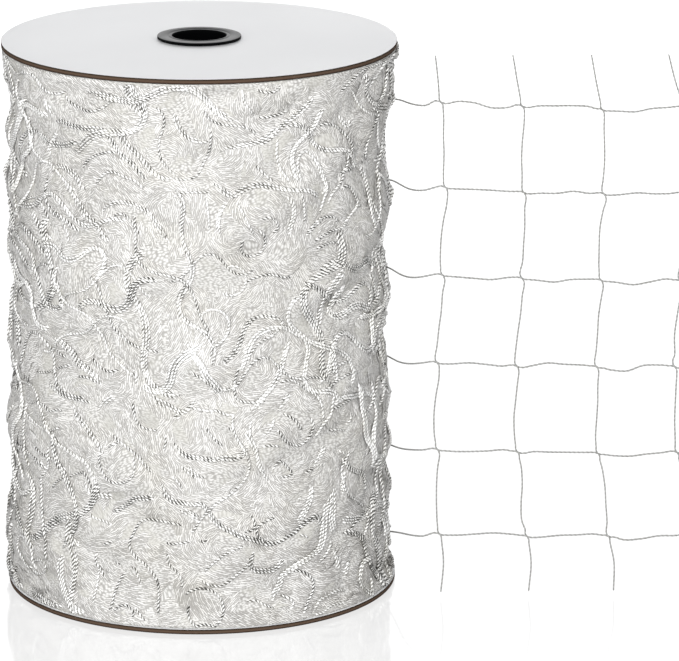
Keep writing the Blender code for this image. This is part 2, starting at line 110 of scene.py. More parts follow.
# cords that stand out on the roll's front: d dark, with painted shade deep in their plies' slits, w white or m between
# the two, how many side by side, then deg, mm, deg, mm and so on
CORDS = (
    ("d", 2, (220.4, 244, 226.6, 244, 230.6, 243, 235, 243, 239.3, 243, 242, 241, 243.9, 237, 247.1, 232, 250.2, 229, 253.3, 224, 256, 221)),
    ("m", 2, (242, 245, 245.9, 241, 249, 236, 252.7, 232, 255.7, 226, 259.3, 222, 264.2, 221)),
    ("d", 1, (225.9, 258, 228.7, 254, 232.2, 252, 234.4, 251, 238.7, 252, 242.8, 257, 245.4, 262)),
    ("w", 2, (217.2, 256, 219.1, 252, 221.4, 248, 222.7, 246)),
    ("w", 1, (208.3, 243, 207.5, 237, 209.3, 228, 212.3, 225, 216.2, 223, 218.7, 221)),
    ("w", 2, (221.8, 242, 223.1, 239, 220.7, 234, 219, 227, 220.6, 223)),
    ("m", 2, (218.1, 217, 220.6, 220, 223.8, 222, 227.5, 221, 231.8, 218, 234.8, 212, 236.9, 210)),
    ("m", 2, (225.5, 220, 227.5, 213, 231.7, 207, 233.9, 201, 236.8, 197, 239.5, 192, 242.2, 188)),
    ("d", 1, (232.6, 222, 234.9, 227, 239.2, 231, 243.2, 233, 245.8, 232)),
    ("m", 1, (237.7, 215, 240.5, 221, 243.8, 224, 248.3, 222, 251.7, 220, 253.9, 215)),
    ("d", 1, (255.9, 256, 258.9, 253, 259.4, 247, 258.2, 241, 258.2, 233, 260.5, 227, 264, 222)),
    ("m", 2, (238.2, 201, 241, 207, 245.7, 209, 250.1, 208, 254.4, 205, 256.8, 200, 259.2, 194, 261.5, 188)),
    ("d", 1, (241.7, 201, 245.6, 203, 248.2, 201, 250.7, 196, 252.5, 192)),
    ("d", 2, (216.4, 203, 219.8, 199, 224.3, 196, 228, 193, 230.8, 191)),
    ("m", 2, (209.4, 200, 213.5, 192, 217.1, 186, 220.5, 183)),
    ("w", 1, (222.1, 195, 225.1, 190, 226.3, 184)),
    ("d", 1, (218.1, 216, 217, 210, 217.9, 204, 219.8, 199)),
    ("w", 1, (282, 266, 282.9, 259, 284.7, 254, 286.5, 250)),
    ("d", 1, (286.5, 250, 289.9, 250, 294.3, 251, 297.6, 253)),
    ("d", 1, (285.6, 265, 288, 263, 291.1, 263, 294.3, 266)),
    ("m", 2, (275.7, 235, 279, 236, 282.5, 237, 286.5, 238, 289.9, 240, 292.4, 243, 295.6, 244)),
    ("m", 2, (286.8, 237, 289.9, 238, 293.7, 243, 297.6, 248, 301, 252, 303.8, 257, 305.2, 263)),
    ("w", 2, (310.9, 253, 308.2, 250, 306, 243, 303.8, 239, 301, 235, 298.9, 230, 298.6, 223, 300.6, 217)),
    ("w", 1, (294.6, 240, 293.6, 234, 294, 226, 296.2, 220, 298.2, 217)),
    ("d", 1, (273.1, 247, 273.1, 240, 272.5, 234, 271, 229, 269.3, 224, 266.6, 222, 263.1, 222, 261.4, 224)),
    ("m", 2, (272.5, 220, 276, 217, 278.9, 214, 280.7, 215, 283.7, 217, 287.3, 218, 291.1, 217, 295.2, 215, 299.6, 214, 303.1, 213, 308.2, 208)),
    ("w", 2, (279.5, 213, 277.1, 210, 275.6, 206, 275, 200, 275.6, 193)),
    ("w", 1, (308.2, 208, 309.4, 213, 307.8, 219, 306.3, 227, 303.8, 231, 301, 229, 299.9, 223, 301, 217)),
    ("d", 1, (286.1, 228, 288.6, 224, 291.1, 220, 293, 218)),
    ("w", 2, (295.2, 214, 297.6, 208, 298.2, 201, 296.9, 195, 295.2, 191)),
    ("m", 1, (300.3, 213, 301.3, 207, 302.4, 200, 303.1, 195)),
    ("d", 1, (310.9, 198, 307.5, 196, 304.5, 193, 302, 190)),
    ("d", 1, (286.7, 201, 289.2, 203, 291.7, 201, 292.6, 197, 291, 193)),
    ("m", 1, (261.3, 212, 263.7, 215, 266, 216, 270.1, 216, 274.2, 216)),
    ("w", 1, (271.6, 216, 272.1, 209, 272.4, 201, 272.7, 195)),
    ("w", 1, (280.1, 212, 281.9, 206, 284, 199, 286.1, 194)),
    ("d", 1, (306.9, 242, 310.7, 243, 314.4, 241, 317.6, 237, 321.5, 230, 321.5, 226, 323.8, 221)),
    ("m", 1, (320.1, 228, 320.6, 221, 317.6, 216, 315.2, 212, 312.2, 208, 311.8, 202)),
    ("d", 2, (316, 216, 319.7, 218, 323.8, 218, 327.8, 215)),
    ("d", 1, (316, 210, 319.3, 211, 322.4, 207, 325.3, 201, 327.4, 196)),
    ("w", 1, (323.8, 206, 324.3, 200, 321.1, 196, 317.7, 192)),
    ("d", 1, (302.6, 191, 305.2, 195, 308.6, 198, 312.2, 198, 314.5, 196, 315.6, 192)),
    ("d", 1, (304.9, 187, 308.2, 189, 312.2, 191, 316, 191, 320.7, 193)),
    ("d", 1, (305.2, 184, 309.3, 185, 312.9, 185, 316.5, 184)),
    ("w", 1, (306.5, 228, 307.9, 222, 308.9, 217, 309.6, 211, 308.9, 205, 307.6, 199)),
    ("w", 2, (315.6, 248, 317.6, 242, 319.3, 240, 320.1, 243, 321.9, 246)),
    ("w", 2, (297.8, 144, 296.5, 136, 295.2, 130, 292.5, 123, 289, 116, 286.2, 111, 285, 106)),
    ("w", 3, (315.2, 138, 313.1, 132, 311.4, 125, 309.4, 119, 307.1, 115)),
    ("m", 1, (322.3, 127, 317.9, 125, 313.9, 124, 311, 122)),
    ("d", 1, (326.1, 117, 320.3, 119, 315.2, 117, 311.5, 115, 307.9, 114)),
    ("d", 1, (322.8, 106, 318, 105, 314, 104, 311.5, 104)),
    ("m", 1, (292.9, 119, 295.2, 122, 298.5, 121, 302.7, 116, 305.6, 113, 307.1, 108, 307.9, 101, 308.7, 98)),
    ("w", 1, (315.2, 114, 312.3, 109, 311.1, 103, 308.3, 98, 307.1, 94, 306.4, 89)),
    ("m", 2, (292.5, 106, 293.8, 110, 296.5, 115, 297.8, 120)),
    ("d", 1, (281.4, 132, 279.9, 125, 279.9, 118, 281.3, 114, 284.4, 113, 288.1, 113, 289.7, 116)),
    ("d", 1, (275.3, 86, 279.2, 86, 282.5, 89, 284, 92)),
    ("m", 1, (286.8, 90, 289.9, 91, 293.2, 90, 295.5, 87)),
    ("w", 1, (287.4, 96, 290, 98, 291.9, 103, 292.5, 106)),
    ("d", 1, (292.5, 100, 295.1, 93, 297.8, 90, 300.6, 89, 303.1, 92, 304.5, 97, 303.4, 104)),
    ("d", 1, (292.5, 76, 292.2, 79, 294.5, 82, 297.1, 78, 298.5, 75, 295.8, 74, 292.8, 75)),
    ("w", 2, (311.5, 87, 309.9, 83, 307.5, 79, 306.4, 74)),
    ("d", 1, (310.3, 93, 313.1, 93, 316.2, 92, 319.9, 90)),
    ("w", 1, (315.7, 82, 318.9, 79, 320.9, 75)),
    ("w", 1, (319.9, 71, 318.5, 67, 316.2, 62)),
    ("d", 1, (301.6, 74, 304.1, 75, 307.1, 77)),
    ("w", 2, (322.9, 102, 322.4, 98, 319.9, 95, 318, 93)),
    ("d", 1, (293.8, 106, 295.8, 105, 298.5, 102, 300.2, 98, 302.3, 96)),
    ("m", 3, (218, 137, 222.3, 136, 226.6, 132, 230.3, 128, 234, 125, 236.9, 122, 239.7, 117)),
    ("d", 1, (208.5, 116, 214.6, 118, 220.8, 122, 227, 126)),
    ("d", 1, (228.2, 120, 231.7, 121, 234.7, 121, 237.3, 118)),
    ("d", 1, (234.1, 132, 236.3, 130, 239.1, 127, 241.8, 126, 245.8, 128)),
    ("d", 2, (215.6, 115, 219.7, 113, 223.8, 111, 228.5, 110, 232.4, 110, 235.4, 109)),
    ("w", 1, (221.6, 117, 223, 114, 226, 112)),
    ("d", 1, (206.8, 100, 212.1, 103, 216.5, 103, 219.5, 101, 223.3, 103, 225, 101)),
    ("m", 2, (226.8, 107, 230, 102, 233.4, 98, 236.7, 92, 239.5, 86, 240.8, 82)),
    ("w", 2, (219.4, 93, 220.3, 86, 223.9, 84, 228.2, 81, 232.1, 79, 235.1, 74, 237.2, 67)),
    ("d", 1, (207.1, 80, 211.6, 77, 216.6, 76, 220.1, 74, 223.8, 71)),
    ("d", 1, (223.3, 68, 227.2, 71, 231.3, 73, 233.5, 69, 235, 64)),
    ("d", 1, (215.3, 59, 219, 65, 223.8, 69)),
    ("w", 2, (236.8, 103, 239, 109, 241.7, 113, 245.1, 114)),
    ("m", 1, (240.9, 96, 244.6, 92, 247.8, 89, 251.3, 86, 254.4, 81, 256.2, 77)),
    ("d", 1, (240.5, 87, 241.9, 90, 244.9, 92)),
    ("m", 2, (246.5, 126, 249.7, 126, 250.3, 121, 251.5, 119)),
    ("d", 2, (191.8, 74, 200.5, 74, 207.7, 73, 211.5, 71, 214.9, 70)),
    ("d", 1, (217.5, 131, 222.2, 129, 225.3, 128)),
    ("w", 1, (215.9, 97, 217.9, 94, 219.4, 89)),
    ("w", 3, (266, 146, 267.7, 138, 269.8, 133, 271.5, 127, 273.9, 122, 275.9, 117, 277.4, 113)),
    ("m", 2, (253.5, 116, 256.3, 114, 259, 112, 262.3, 109, 264.1, 108, 266.1, 110, 268.8, 115)),
    ("m", 2, (260.4, 101, 262, 105, 264.1, 108)),
    ("d", 2, (260.1, 95, 262.2, 92, 265.2, 88, 268.7, 87, 272.9, 86, 276.4, 87, 280, 87, 282.1, 89, 284, 94)),
    ("m", 1, (265.8, 110, 268.2, 110, 271.2, 109, 274.7, 109, 277.7, 107, 281.3, 107)),
    ("d", 1, (270.5, 103, 272.6, 98, 275, 94, 277.6, 92)),
    ("d", 1, (276.8, 102, 279.4, 99, 281.2, 98)),
    ("w", 2, (281.3, 102, 283.1, 99, 284.6, 94, 286.1, 88, 287.3, 81, 289.5, 76, 291.8, 73)),
    ("m", 1, (258.6, 99, 259.2, 93, 258, 88)),
    ("m", 3, (263.4, 85, 265.7, 81, 268.7, 77, 271.6, 75)),
    ("w", 1, (285.5, 106, 284.3, 100, 284.6, 95)),
    ("d", 1, (248.8, 114, 249.7, 107, 251, 101, 254.4, 99, 257.7, 99)),
    ("m", 1, (245.5, 90, 249, 88, 252.5, 84, 255.9, 78)),
    ("d", 2, (257.1, 75, 259.2, 69, 261.5, 66, 264.5, 65, 267.5, 64, 269.9, 64, 272.2, 59, 274.6, 54, 277.6, 51, 281.2, 48, 284.9, 46, 289.2, 43, 293.4, 44)),
    ("m", 3, (262.7, 63, 265.4, 60, 268.7, 56, 271, 53)),
    ("m", 1, (259.5, 76, 261.6, 77, 263.4, 74, 264.3, 70)),
    ("m", 1, (259.3, 41, 260.2, 34, 262.6, 30, 264.1, 25, 263.1, 20)),
    ("d", 1, (257.5, 44, 260.2, 43, 263.8, 44, 267.4, 45)),
    ("d", 1, (268.3, 47, 270.4, 45, 272.2, 48)),
    ("m", 1, (269.7, 27, 270.9, 31, 274.2, 36, 278.8, 41, 283.3, 43)),
    ("m", 1, (268.8, 27, 271.5, 24, 275.1, 23, 278.7, 26, 283.3, 32, 284.8, 38)),
    ("d", 1, (284, 59, 285.5, 54, 284.9, 51, 281.2, 49)),
    ("d", 1, (293.1, 54, 291.2, 55, 288.6, 54, 286.4, 52, 286.1, 48, 289.2, 43)),
    ("d", 1, (284.2, 32, 287.3, 28, 291.1, 28)),
    ("d", 2, (239.6, 55, 243, 57, 246.4, 61, 249.6, 65, 253.4, 66, 257.1, 67)),
    ("d", 1, (264.9, 52, 258.9, 54, 254.6, 55, 250.8, 53, 248.6, 47, 247.6, 41, 249.5, 36, 252.6, 33, 255.7, 28, 256.9, 23, 256.8, 15, 256.8, 7)),
    ("w", 3, (222, 34, 222.8, 27, 222.8, 20, 224, 14, 227, 10, 230.3, 6, 234.5, 4)),
    ("w", 2, (230.1, 70, 232.4, 66, 235.7, 64, 239.3, 64, 242.4, 63)),
    ("m", 1, (236.2, 37, 235.8, 30, 238, 26, 239.3, 22)),
    ("w", 1, (236.5, 28, 237.2, 21, 236.8, 14, 236.4, 9)),
    ("w", 1, (205.8, 18, 209.4, 22, 214.8, 24, 215.3, 20, 211.8, 16, 207.2, 16, 205.4, 17)),
    ("m", 1, (246.8, 29, 244.8, 24, 243.4, 18, 242.7, 12, 241.3, 7)),
    ("m", 1, (246.8, 29, 249.4, 30, 251, 26, 251.6, 21)),
    ("d", 1, (237.3, 38, 240.2, 41, 242.9, 43)),
    ("m", 3, (204.8, 6, 211.6, 5, 216.7, 4, 221.6, 4, 226.1, 4)),
    ("w", 2, (221.3, 50, 224, 46, 225.2, 41, 229, 37, 231.3, 33)),
    ("d", 1, (242.7, 7, 244.7, 11, 247.4, 12, 249.6, 9, 248.6, 5)),
    ("m", 1, (248.7, 12, 251.5, 8, 253.7, 4)),
    ("w", 1, (232.3, 54, 235.3, 52, 239.6, 51, 242.3, 49)),
    ("d", 1, (240.8, 32, 242.9, 31, 244.9, 29)),
    ("d", 2, (286, 48, 287.8, 44, 290.2, 43, 292.9, 43, 295.7, 45, 298.2, 46, 300.8, 49, 303.5, 51, 306.3, 52, 308.1, 49, 308.1, 44, 307, 41)),
    ("w", 3, (306.3, 70, 304.9, 65, 302.8, 58, 300.8, 53, 298.9, 48)),
    ("w", 2, (303.9, 68, 300.8, 64, 298.2, 60)),
    ("w", 3, (313, 67, 312.6, 61, 312.2, 54, 311.9, 49, 313.8, 42, 315.5, 40)),
    ("w", 3, (312.6, 61, 310.3, 57, 309.2, 51, 309.2, 47, 308.8, 41, 307.4, 36, 304.2, 33, 300.2, 30, 297.2, 27, 295, 24, 294.4, 20, 292.8, 16, 291.9, 11)),
    ("w", 2, (319.3, 65, 317.6, 61, 316.3, 58)),
    ("w", 1, (314.2, 39, 311.5, 33, 309.2, 30, 307, 27)),
    ("w", 2, (315.9, 34, 313.8, 30, 313.9, 24, 315.1, 20)),
    ("w", 2, (321.7, 28, 318.9, 24, 317.6, 19, 317.2, 13)),
    ("d", 1, (296, 24, 298.8, 26, 302.1, 25, 304.9, 21, 305.2, 16, 303.9, 12, 301.5, 7, 300.1, 4)),
    ("m", 1, (293.8, 15, 296.3, 14, 298.2, 11, 296.9, 7)),
    ("w", 1, (304.9, 5, 307.7, 9, 311.5, 11, 315.5, 12, 319.9, 9)),
    ("w", 1, (303.5, 4, 307.7, 4, 312.3, 6, 318.1, 5)),
    ("m", 2, (297.9, 44, 297.6, 39, 296.9, 35)),
    ("m", 2, (292.9, 39, 294.4, 36, 293.2, 32, 291.3, 29, 288.3, 29, 285.4, 30, 284.3, 33, 285.1, 38, 287.5, 41)),
    ("w", 1, (298.9, 44, 301.5, 44, 304.2, 41)),
    ("m", 1, (282.5, 13, 286, 14, 289.5, 11, 292.2, 9)),
)
# smooth bare patches: deg, mm, half_mm
BARE = (
    (240.7, 210, 3.8), (237.3, 257, 2.9), (242.2, 84, 2.9), (238.8, 133, 3.8), (212.6, 131, 3.8), (292.5, 86, 4.3),
    (294.4, 77, 2.9), (314.4, 232, 2.9), (227.7, 34, 2.9), (246.7, 8, 2.4), (263.2, 103, 2.9), (20, 190, 3.5),
    (60, 92, 4.0), (95, 214, 3.6), (128, 60, 3.6), (150, 150, 4.0), (80, 140, 3.0),
)

# ---------------------------------------------------------------- sizes of the looks
FIELD_R = 0.00092  # half the twine's width in the roll's fields
CORD_R = 0.00061  # half its width where it stands out
LOOSE_R = 0.00043  # half its width where it is pulled straight
STITCH, CORD_STITCH = 0.0017, 0.0019  # from one ply's crest to the next along the twine, and along a cord
UNDER = 0.0013  # from the roll's form in to its under layers
CREASE, CREASE_WIDE = 0.0008, 0.0024  # how deep and how wide the furrows under the cords are
PILLOW, PILLOW_WIDE = 0.0005, 0.0060  # how far the net swells between them
FAR_MOST = 0.0105
CELL = 0.0005  # the unrolled map's cell
NS = int(round(TAU * NET_R / CELL))
CELL_S = TAU * NET_R / NS
NZ = int(round((NET_HIGH - NET_LOW) / CELL)) + 1


def outline_rise(outline, z):
    """The rise of an outline at each height, run smoothly from one of its lines to the next."""
    h, r = outline[:, 0] * MM, outline[:, 1] * MM
    z = np.clip(z, h[0], h[-1])
    i = np.clip(np.searchsorted(h, z, side="left") - 1, 0, len(h) - 2)
    share = (1 - np.cos(math.pi * np.clip((z - h[i]) / (h[i + 1] - h[i]), 0, 1))) / 2
    return r[i] * (1 - share) + r[i + 1] * share


def net_radius(angle, z):
    """The wound net's outer radius; angle in radians from +X, z in metres, as arrays."""
    angle, z = np.broadcast_arrays(np.asarray(angle, float), np.asarray(z, float))
    rise = FLARE * (np.exp(-(NET_HIGH - z) / FLARE_HEIGHT) + np.exp((NET_LOW - z) / FLARE_HEIGHT))
    deg = np.degrees(angle)
    for a, h, wa, wh, up in FOLDS:
        across = ((deg - a + 180.0) % 360.0 - 180.0) / wa
        along = (z - h * MM) / (wh * MM)
        rise = rise + up * MM * np.exp(-across * across - along * along)
    for turns, wave, up, start in WAVES:
        rise = rise + up * MM * np.sin(turns * angle + TAU * z / (wave * MM) + math.radians(start))
    for outline, side in ((RIGHT_OUTLINE, 0.0), (LEFT_OUTLINE, 180.0)):
        share = np.exp(-((((deg - side + 180.0) % 360.0 - 180.0) / OUTLINE_HALF_DEG) ** 2))
        rise = rise * (1 - share) + outline_rise(outline, z) * share
    return NET_R + rise


# ---------------------------------------------------------------- helpers for maps on the unrolled roll
def noise_map(rng, longest, shortest, modes=48, tilt=None, gain=1.0):
    """A smooth random map, the same at both ends of its turn, about 1 high. Sizes in metres."""
    s = np.arange(NS) / NS * TAU
    z = np.arange(NZ) * CELL
    out = np.zeros((NZ, NS))
    for _ in range(modes):
        wave = math.exp(rng.uniform(math.log(shortest), math.log(longest)))
        way = rng.uniform(0, TAU) if tilt is None else rng.normal(tilt[0], tilt[1])
        ks = round(TAU * NET_R / wave * math.cos(way))
        kz = TAU / wave * math.sin(way)
        a = (wave / longest) ** gain
        ph = rng.uniform(0, TAU)
        # cos(ks s + kz z + ph), as a product of its two ways, so that it costs little
        out += a * (np.outer(np.cos(kz * z + ph), np.cos(ks * s)) - np.outer(np.sin(kz * z + ph), np.sin(ks * s)))
    return out / out.std()


def smooth_line(values, sigma, ends="edge"):
    """A Gaussian blur along a line; sigma in samples."""
    n = max(1, int(3 * sigma))
    k = np.exp(-0.5 * (np.arange(-n, n + 1) / sigma) ** 2)
    k /= k.sum()
    padded = np.pad(values, n, mode=ends)
    return np.convolve(padded, k, "valid")


def highest_near(values, n):
    padded = np.pad(values, n, mode="edge")
    return np.lib.stride_tricks.sliding_window_view(padded, 2 * n + 1).max(1)


def resampled(points, step):
    """Points (N, k) set out evenly along their line."""
    points = np.asarray(points, float)
    d = np.r_[0, np.cumsum(np.linalg.norm(np.diff(points, axis=0), axis=1))]
    n = max(2, int(round(d[-1] / step)) + 1)
    at = np.linspace(0, d[-1], n)
    return np.stack([np.interp(at, d, points[:, k]) for k in range(points.shape[1])], 1)


def spline(points, per=12):
    """A Catmull-Rom curve through points (N, k)."""
    p = np.asarray(points, float)
    p = np.vstack([2 * p[0] - p[1], p, 2 * p[-1] - p[-2]])
    out = []
    for i in range(1, len(p) - 2):
        t = np.linspace(0, 1, per, endpoint=False)[:, None]
        a, b, c, d = p[i - 1], p[i], p[i + 1], p[i + 2]
        out.append(0.5 * (2 * b + (c - a) * t + (2 * a - 5 * b + 4 * c - d) * t * t + (3 * b - a - 3 * c + d) * t**3))
    out.append(p[-2][None])
    return np.vstack(out)


# ---------------------------------------------------------------- meshes
def new_object(name, verts, faces_flat, sizes, uv=None, smooth=True, uv_name="twine"):
    mesh = bpy.data.meshes.new(name)
    mesh.vertices.add(len(verts))
    mesh.vertices.foreach_set("co", np.ascontiguousarray(verts, np.float32).ravel())
    mesh.loops.add(len(faces_flat))
    mesh.loops.foreach_set("vertex_index", np.ascontiguousarray(faces_flat, np.int32))
    mesh.polygons.add(len(sizes))
    starts = np.r_[0, np.cumsum(sizes)[:-1]].astype(np.int32)
    mesh.polygons.foreach_set("loop_start", starts)
    mesh.update(calc_edges=True)
    if uv is not None:
        layer = mesh.uv_layers.new(name=uv_name)
        layer.uv.foreach_set("vector", np.ascontiguousarray(uv, np.float32).ravel())
    if smooth:
        mesh.shade_smooth()
    mesh.validate()
    obj = bpy.data.objects.new(name, mesh)
    bpy.context.scene.collection.objects.link(obj)
    return obj


class Tubes:
    """Gathers closed tubes of twine and makes one mesh of them."""

    def __init__(self, stitch=STITCH):
        self.v, self.f, self.n, self.uv, self.count = [], [], [], [], 0
        self.tris = 0
        self.stitch = stitch

    def add(self, path, normal, radius, sides, twisted=False, phase=0.0, flat=1.0, ends=0.5):
        """path (N, 3), normal (N, 3) the way out of the roll, radius (N,) or a number."""
        n = len(path)
        if n < 3:
            return
        along = np.gradient(path, axis=0)
        along /= np.maximum(np.linalg.norm(along, axis=1), 1e-12)[:, None]
        out = normal - (normal * along).sum(1)[:, None] * along
        out /= np.maximum(np.linalg.norm(out, axis=1), 1e-12)[:, None]
        side = np.cross(along, out)
        d = np.r_[0, np.cumsum(np.linalg.norm(np.diff(path, axis=0), axis=1))]
        radius = np.broadcast_to(np.asarray(radius, float), (n,)).copy()
        # the last stretch at each end narrows to a round tip
        tip = np.minimum(d, d[-1] - d) / np.maximum(radius, 1e-9)
        radius *= np.sqrt(np.clip(1 - (1 - np.clip(tip, 0, 1)) ** 2, ends**2, 1))
        # three sides make flat twine: two faces with a low crest between them, and a hidden underside
        a = np.array((0.0, 0.25, 0.5)) * TAU if sides == 3 else np.arange(sides) / sides * TAU
        turn = d / self.stitch + phase
        lean = (phase * 0.37) % 1.0 + d / (0.080 + 0.05 * ((phase * 7.1) % 1.0))
        if twisted:
            # the plies' crests
            share = 1.0 + 0.11 * np.cos(TAU * (turn[:, None] + 2 * (2.0 - lean[:, None] + a[None, :] / TAU)))
        else:
            share = np.ones((n, sides))
        c, s = np.cos(a)[None, :] * share, np.sin(a)[None, :] * share * flat
        ring = path[:, None, :] + radius[:, None, None] * (side[:, None, :] * c[..., None] + out[:, None, :] * s[..., None])
        first = self.count
        self.v.append(ring.reshape(-1, 3))
        i = np.arange(n - 1)[:, None] * sides
        j = np.arange(sides)[None, :]
        k = (j + 1) % sides
        quad = np.stack([i + j, i + k, i + sides + k, i + sides + j], -1).reshape(-1, 4) + first
        self.f.append(quad.ravel())
        self.n.append(np.full(len(quad), 4))
        u0 = np.broadcast_to(turn[:-1, None], (n - 1, sides))
        u1 = np.broadcast_to(turn[1:, None], (n - 1, sides))
        # v runs round the twine, and its start turns slowly along it
        la, lb = 2.0 - lean[:-1, None] % 1.0, 2.0 - lean[:-1, None] % 1.0 - np.diff(lean)[:, None]
        va, vb = (a / TAU)[None, :], (np.r_[a[1:], TAU] / TAU)[None, :]
        uv = np.stack([
            np.stack([u0, la + va], -1), np.stack([u0, la + vb], -1),
            np.stack([u1, lb + vb], -1), np.stack([u1, lb + va], -1),
        ], 2)
        self.uv.append(uv.reshape(-1, 2))
        # caps
        cap0 = np.arange(sides)[::-1] + first
        cap1 = np.arange(sides) + first + (n - 1) * sides
        for cap, at in ((cap0, 0), (cap1, -1)):
            self.f.append(cap)
            self.n.append(np.array([sides]))
            self.uv.append(np.stack([np.full(sides, turn[at]), 1.0 + np.arange(sides) / sides], 1))
        self.count += n * sides
        self.tris += 2 * (n - 1) * sides + 2 * (sides - 2)

    def make(self, name):
        return new_object(name, np.vstack(self.v), np.concatenate(self.f), np.concatenate(self.n), np.vstack(self.uv))


def revolved(name, profile, steps, slots=None):
    """A closed profile (radius, height), outer side running down, turned about the spool's axis."""
    p = np.asarray(profile, float)
    m = len(p)
    a = np.arange(steps) / steps * TAU
    verts = np.stack([
        SPOOL_X + np.outer(np.cos(a), p[:, 0]),
        np.outer(np.sin(a), p[:, 0]),
        np.broadcast_to(p[:, 1], (steps, m)),
    ], -1).reshape(-1, 3)
    i = np.arange(steps)[:, None]
    j = np.arange(m)[None, :]
    i2, j2 = (i + 1) % steps, (j + 1) % m
    quads = np.stack([i * m + j + 0 * i2, i * m + j2, i2 * m + j2, i2 * m + j], -1).reshape(-1, 4)
    obj = new_object(name, verts, quads.ravel(), np.full(len(quads), 4), None)
    if slots is not None:
        which = np.broadcast_to(np.asarray(slots, np.int32), (steps, m)).ravel()
        obj["slots"] = 1
        obj.data.polygons.foreach_set("material_index", np.ascontiguousarray(which))
    return obj


# ---------------------------------------------------------------- materials
class Nodes:
    def __init__(self, name):
        self.mat = bpy.data.materials.new(name)
        self.mat.use_nodes = True
        self.t = self.mat.node_tree
        self.bsdf = self.t.nodes["Principled BSDF"]

    def add(self, kind, **settings):
        node = self.t.nodes.new(kind)
        for key, value in settings.items():
            if key.startswith("in_"):
                node.inputs[key[3:].replace("_", " ")].default_value = value
            else:
                setattr(node, key, value)
        return node

    def link(self, a, b):
        self.t.links.new(a, b)

    def math(self, op, a, b=None, c=None, clamp=False):
        node = self.t.nodes.new("ShaderNodeMath")
        node.operation = op
        node.use_clamp = clamp
        for i, value in enumerate((a, b, c)):
            if value is None:
                continue
            if isinstance(value, (int, float)):
                node.inputs[i].default_value = value
            else:
                self.link(value, node.inputs[i])
        return node.outputs[0]

    def ramp(self, value, stops):
        node = self.t.nodes.new("ShaderNodeValToRGB")
        e = node.color_ramp.elements
        while len(e) < len(stops):
            e.new(0.5)
        for item, (at, colour) in zip(e, stops):
            item.position = at
            item.color = (*colour, 1) if len(colour) == 3 else colour
        self.link(value, node.inputs[0])
        return node.outputs[0]

    def mix(self, share, a, b, blend="MIX"):
        node = self.t.nodes.new("ShaderNodeMix")
        node.data_type = "RGBA"
        node.blend_type = blend
        for socket, value in ((node.inputs["Factor"], share), (node.inputs["A"], a), (node.inputs["B"], b)):
            pass
        ins = {"f": node.inputs[0], "a": node.inputs[6], "b": node.inputs[7]}
        for key, value in (("f", share), ("a", a), ("b", b)):
            if isinstance(value, (int, float)):
                ins[key].default_value = value
            elif isinstance(value, tuple):
                ins[key].default_value = (*value, 1)
            else:
                self.link(value, ins[key])
        return node.outputs[2]

    def noise(self, scale, detail=3.0, rough=0.5, coords=None, kind="OBJECT"):
        node = self.t.nodes.new("ShaderNodeTexNoise")
        node.inputs["Scale"].default_value = scale
        node.inputs["Detail"].default_value = detail
        node.inputs["Roughness"].default_value = rough
        if coords is None:
            coords = self.coords().outputs["Object"]
        self.link(coords, node.inputs["Vector"])
        return node.outputs["Fac"]

    def coords(self):
        if not hasattr(self, "_c"):
            self._c = self.t.nodes.new("ShaderNodeTexCoord")
        return self._c

    def bump(self, height, distance, strength=1.0, chain=None):
        node = self.t.nodes.new("ShaderNodeBump")
        node.inputs["Distance"].default_value = distance
        node.inputs["Strength"].default_value = strength
        self.link(height, node.inputs["Height"])
        if chain is not None:
            self.link(chain, node.inputs["Normal"])
        return node.outputs["Normal"]

    def set(self, **values):
        for key, value in values.items():
            self.bsdf.inputs[key].default_value = value


